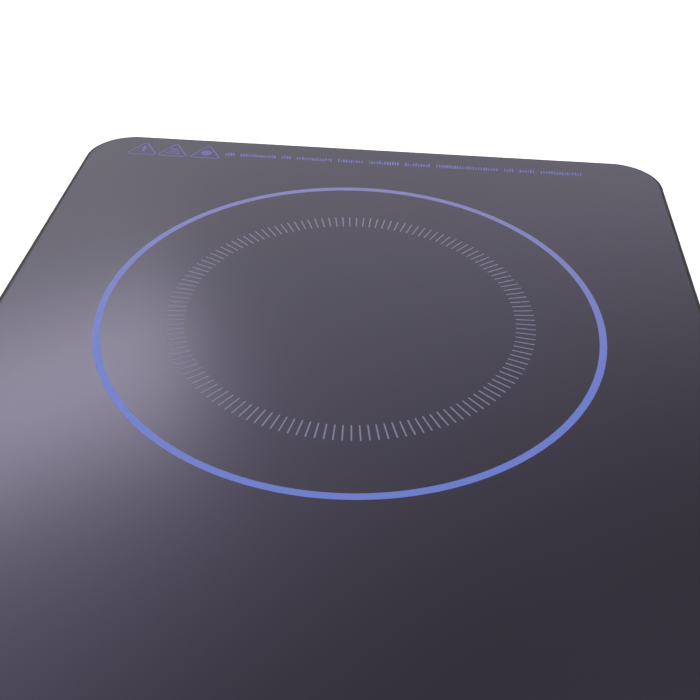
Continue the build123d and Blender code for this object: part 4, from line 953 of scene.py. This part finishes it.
builder = bmesh.new()
floor_half = 6.0
floor_corners = [(-floor_half, -floor_half), (floor_half, -floor_half), (floor_half, floor_half),
                 (-floor_half, floor_half)]
builder.faces.new([builder.verts.new((x, y, cad_box[0].z)) for x, y in floor_corners])
floor_mesh = bpy.data.meshes.new("worktop")
builder.to_mesh(floor_mesh)
builder.free()
worktop_white = new_finish("worktop white", (0.86, 0.86, 0.87), 0.6)
tint_by(worktop_white, add_noise(worktop_white, 3), ((0.85, 0.85, 0.86), (0.87, 0.87, 0.88)))
floor_mesh.materials.append(worktop_white)
worktop = bpy.data.objects.new("worktop", floor_mesh)
bpy.context.scene.collection.objects.link(worktop)


# Studio: an even pale room with a dark band high up and to the right, a very broad soft light from
# above, and one wide panel at the rear left, whose reflection gives the glass its sheen.

zone_centre = Vector((0.0, zone_y, glass_high.z))
room = bpy.data.worlds.new("studio")
bpy.context.scene.world = room
room.use_nodes = True
room_tree = room.node_tree
direction = room_tree.nodes.new("ShaderNodeTexCoord")
lean = add_node(room_tree, "ShaderNodeVectorMath", {"operation": "DOT_PRODUCT"})
lean.inputs[1].default_value = (0.5, 0.0, 1.0)
heights = room_tree.nodes.new("ShaderNodeValToRGB")
wall_white = (1.02, 1.02, 1.02)
room_tint = (0.98, 0.95, 1.05)
tones = ((0.48, 1.00), (0.58, 1.08), (0.67, 0.84), (0.75, 0.46), (0.82, 0.20), (0.90, 0.16), (1.0, 0.55))
steps = [(0.0, wall_white), (0.38, wall_white)]
for where, tone in tones:
    steps.append((where, [share * tone for share in room_tint]))
while len(heights.color_ramp.elements) < len(steps):
    heights.color_ramp.elements.new(0.5)
for stop, (where, colour) in zip(heights.color_ramp.elements, steps):
    stop.position = where
    stop.color = (*colour, 1.0)
room_tree.links.new(direction.outputs["Generated"], lean.inputs[0])
room_tree.links.new(lean.outputs["Value"], heights.inputs["Fac"])
room_tree.links.new(heights.outputs["Color"], room_tree.nodes["Background"].inputs["Color"])
room_tree.nodes["Background"].inputs["Strength"].default_value = 1.0


def hang_lamp(lamp, azimuth, elevation, distance):
    """A lamp hangs in this direction from the middle of the zone, and faces it."""
    hung = bpy.data.objects.new(lamp.name, lamp)
    towards = Vector((
        sin(radians(azimuth)) * cos(radians(elevation)),
        cos(radians(azimuth)) * cos(radians(elevation)),
        sin(radians(elevation)),
    ))
    hung.location = zone_centre + towards * distance
    hung.rotation_euler = towards.to_track_quat("Z", "Y").to_euler()
    bpy.context.scene.collection.objects.link(hung)
    return hung


overhead = bpy.data.lights.new("overhead light", "SUN")
overhead.energy = 2.9
overhead.angle = radians(50)
overhead_lamp = hang_lamp(overhead, azimuth=200, elevation=76, distance=2.6)
overhead_lamp.visible_glossy = False
sheen_panel = bpy.data.lights.new("rear left panel", "AREA")
sheen_panel.shape = "RECTANGLE"
sheen_panel.size = 0.85
sheen_panel.size_y = 0.26
sheen_panel.energy = 3.5
hang_lamp(sheen_panel, azimuth=-35, elevation=40, distance=1.8)


# Camera: a view of the rear two thirds of the glass through a normal lens, from the cook's side and
# a little to the right.

lens_mm = 51.67
camera_azimuth = radians(3.869)
camera_elevation = radians(38.536)
camera_roll = radians(1.436)
camera_distance = 377.6 * mm
aim = zone_centre + Vector((1.75 * mm, -23.3 * mm, 0.0))
back = Vector((
    sin(camera_azimuth) * cos(camera_elevation),
    -cos(camera_azimuth) * cos(camera_elevation),
    sin(camera_elevation),
))
level_right = Vector((0.0, 0.0, 1.0)).cross(back).normalized()
level_up = back.cross(level_right)
right = cos(camera_roll) * level_right + sin(camera_roll) * level_up
up = back.cross(right)
camera_data = bpy.data.cameras.new("camera")
camera_data.lens = lens_mm
camera_data.sensor_width = 36.0
camera_data.clip_start = 0.01
camera = bpy.data.objects.new("camera", camera_data)
turn = Matrix((right, up, back)).transposed().to_4x4()
camera.matrix_world = Matrix.Translation(aim + back * camera_distance) @ turn
bpy.context.scene.collection.objects.link(camera)
bpy.context.scene.camera = camera
bpy.context.scene.view_settings.view_transform = "Standard"
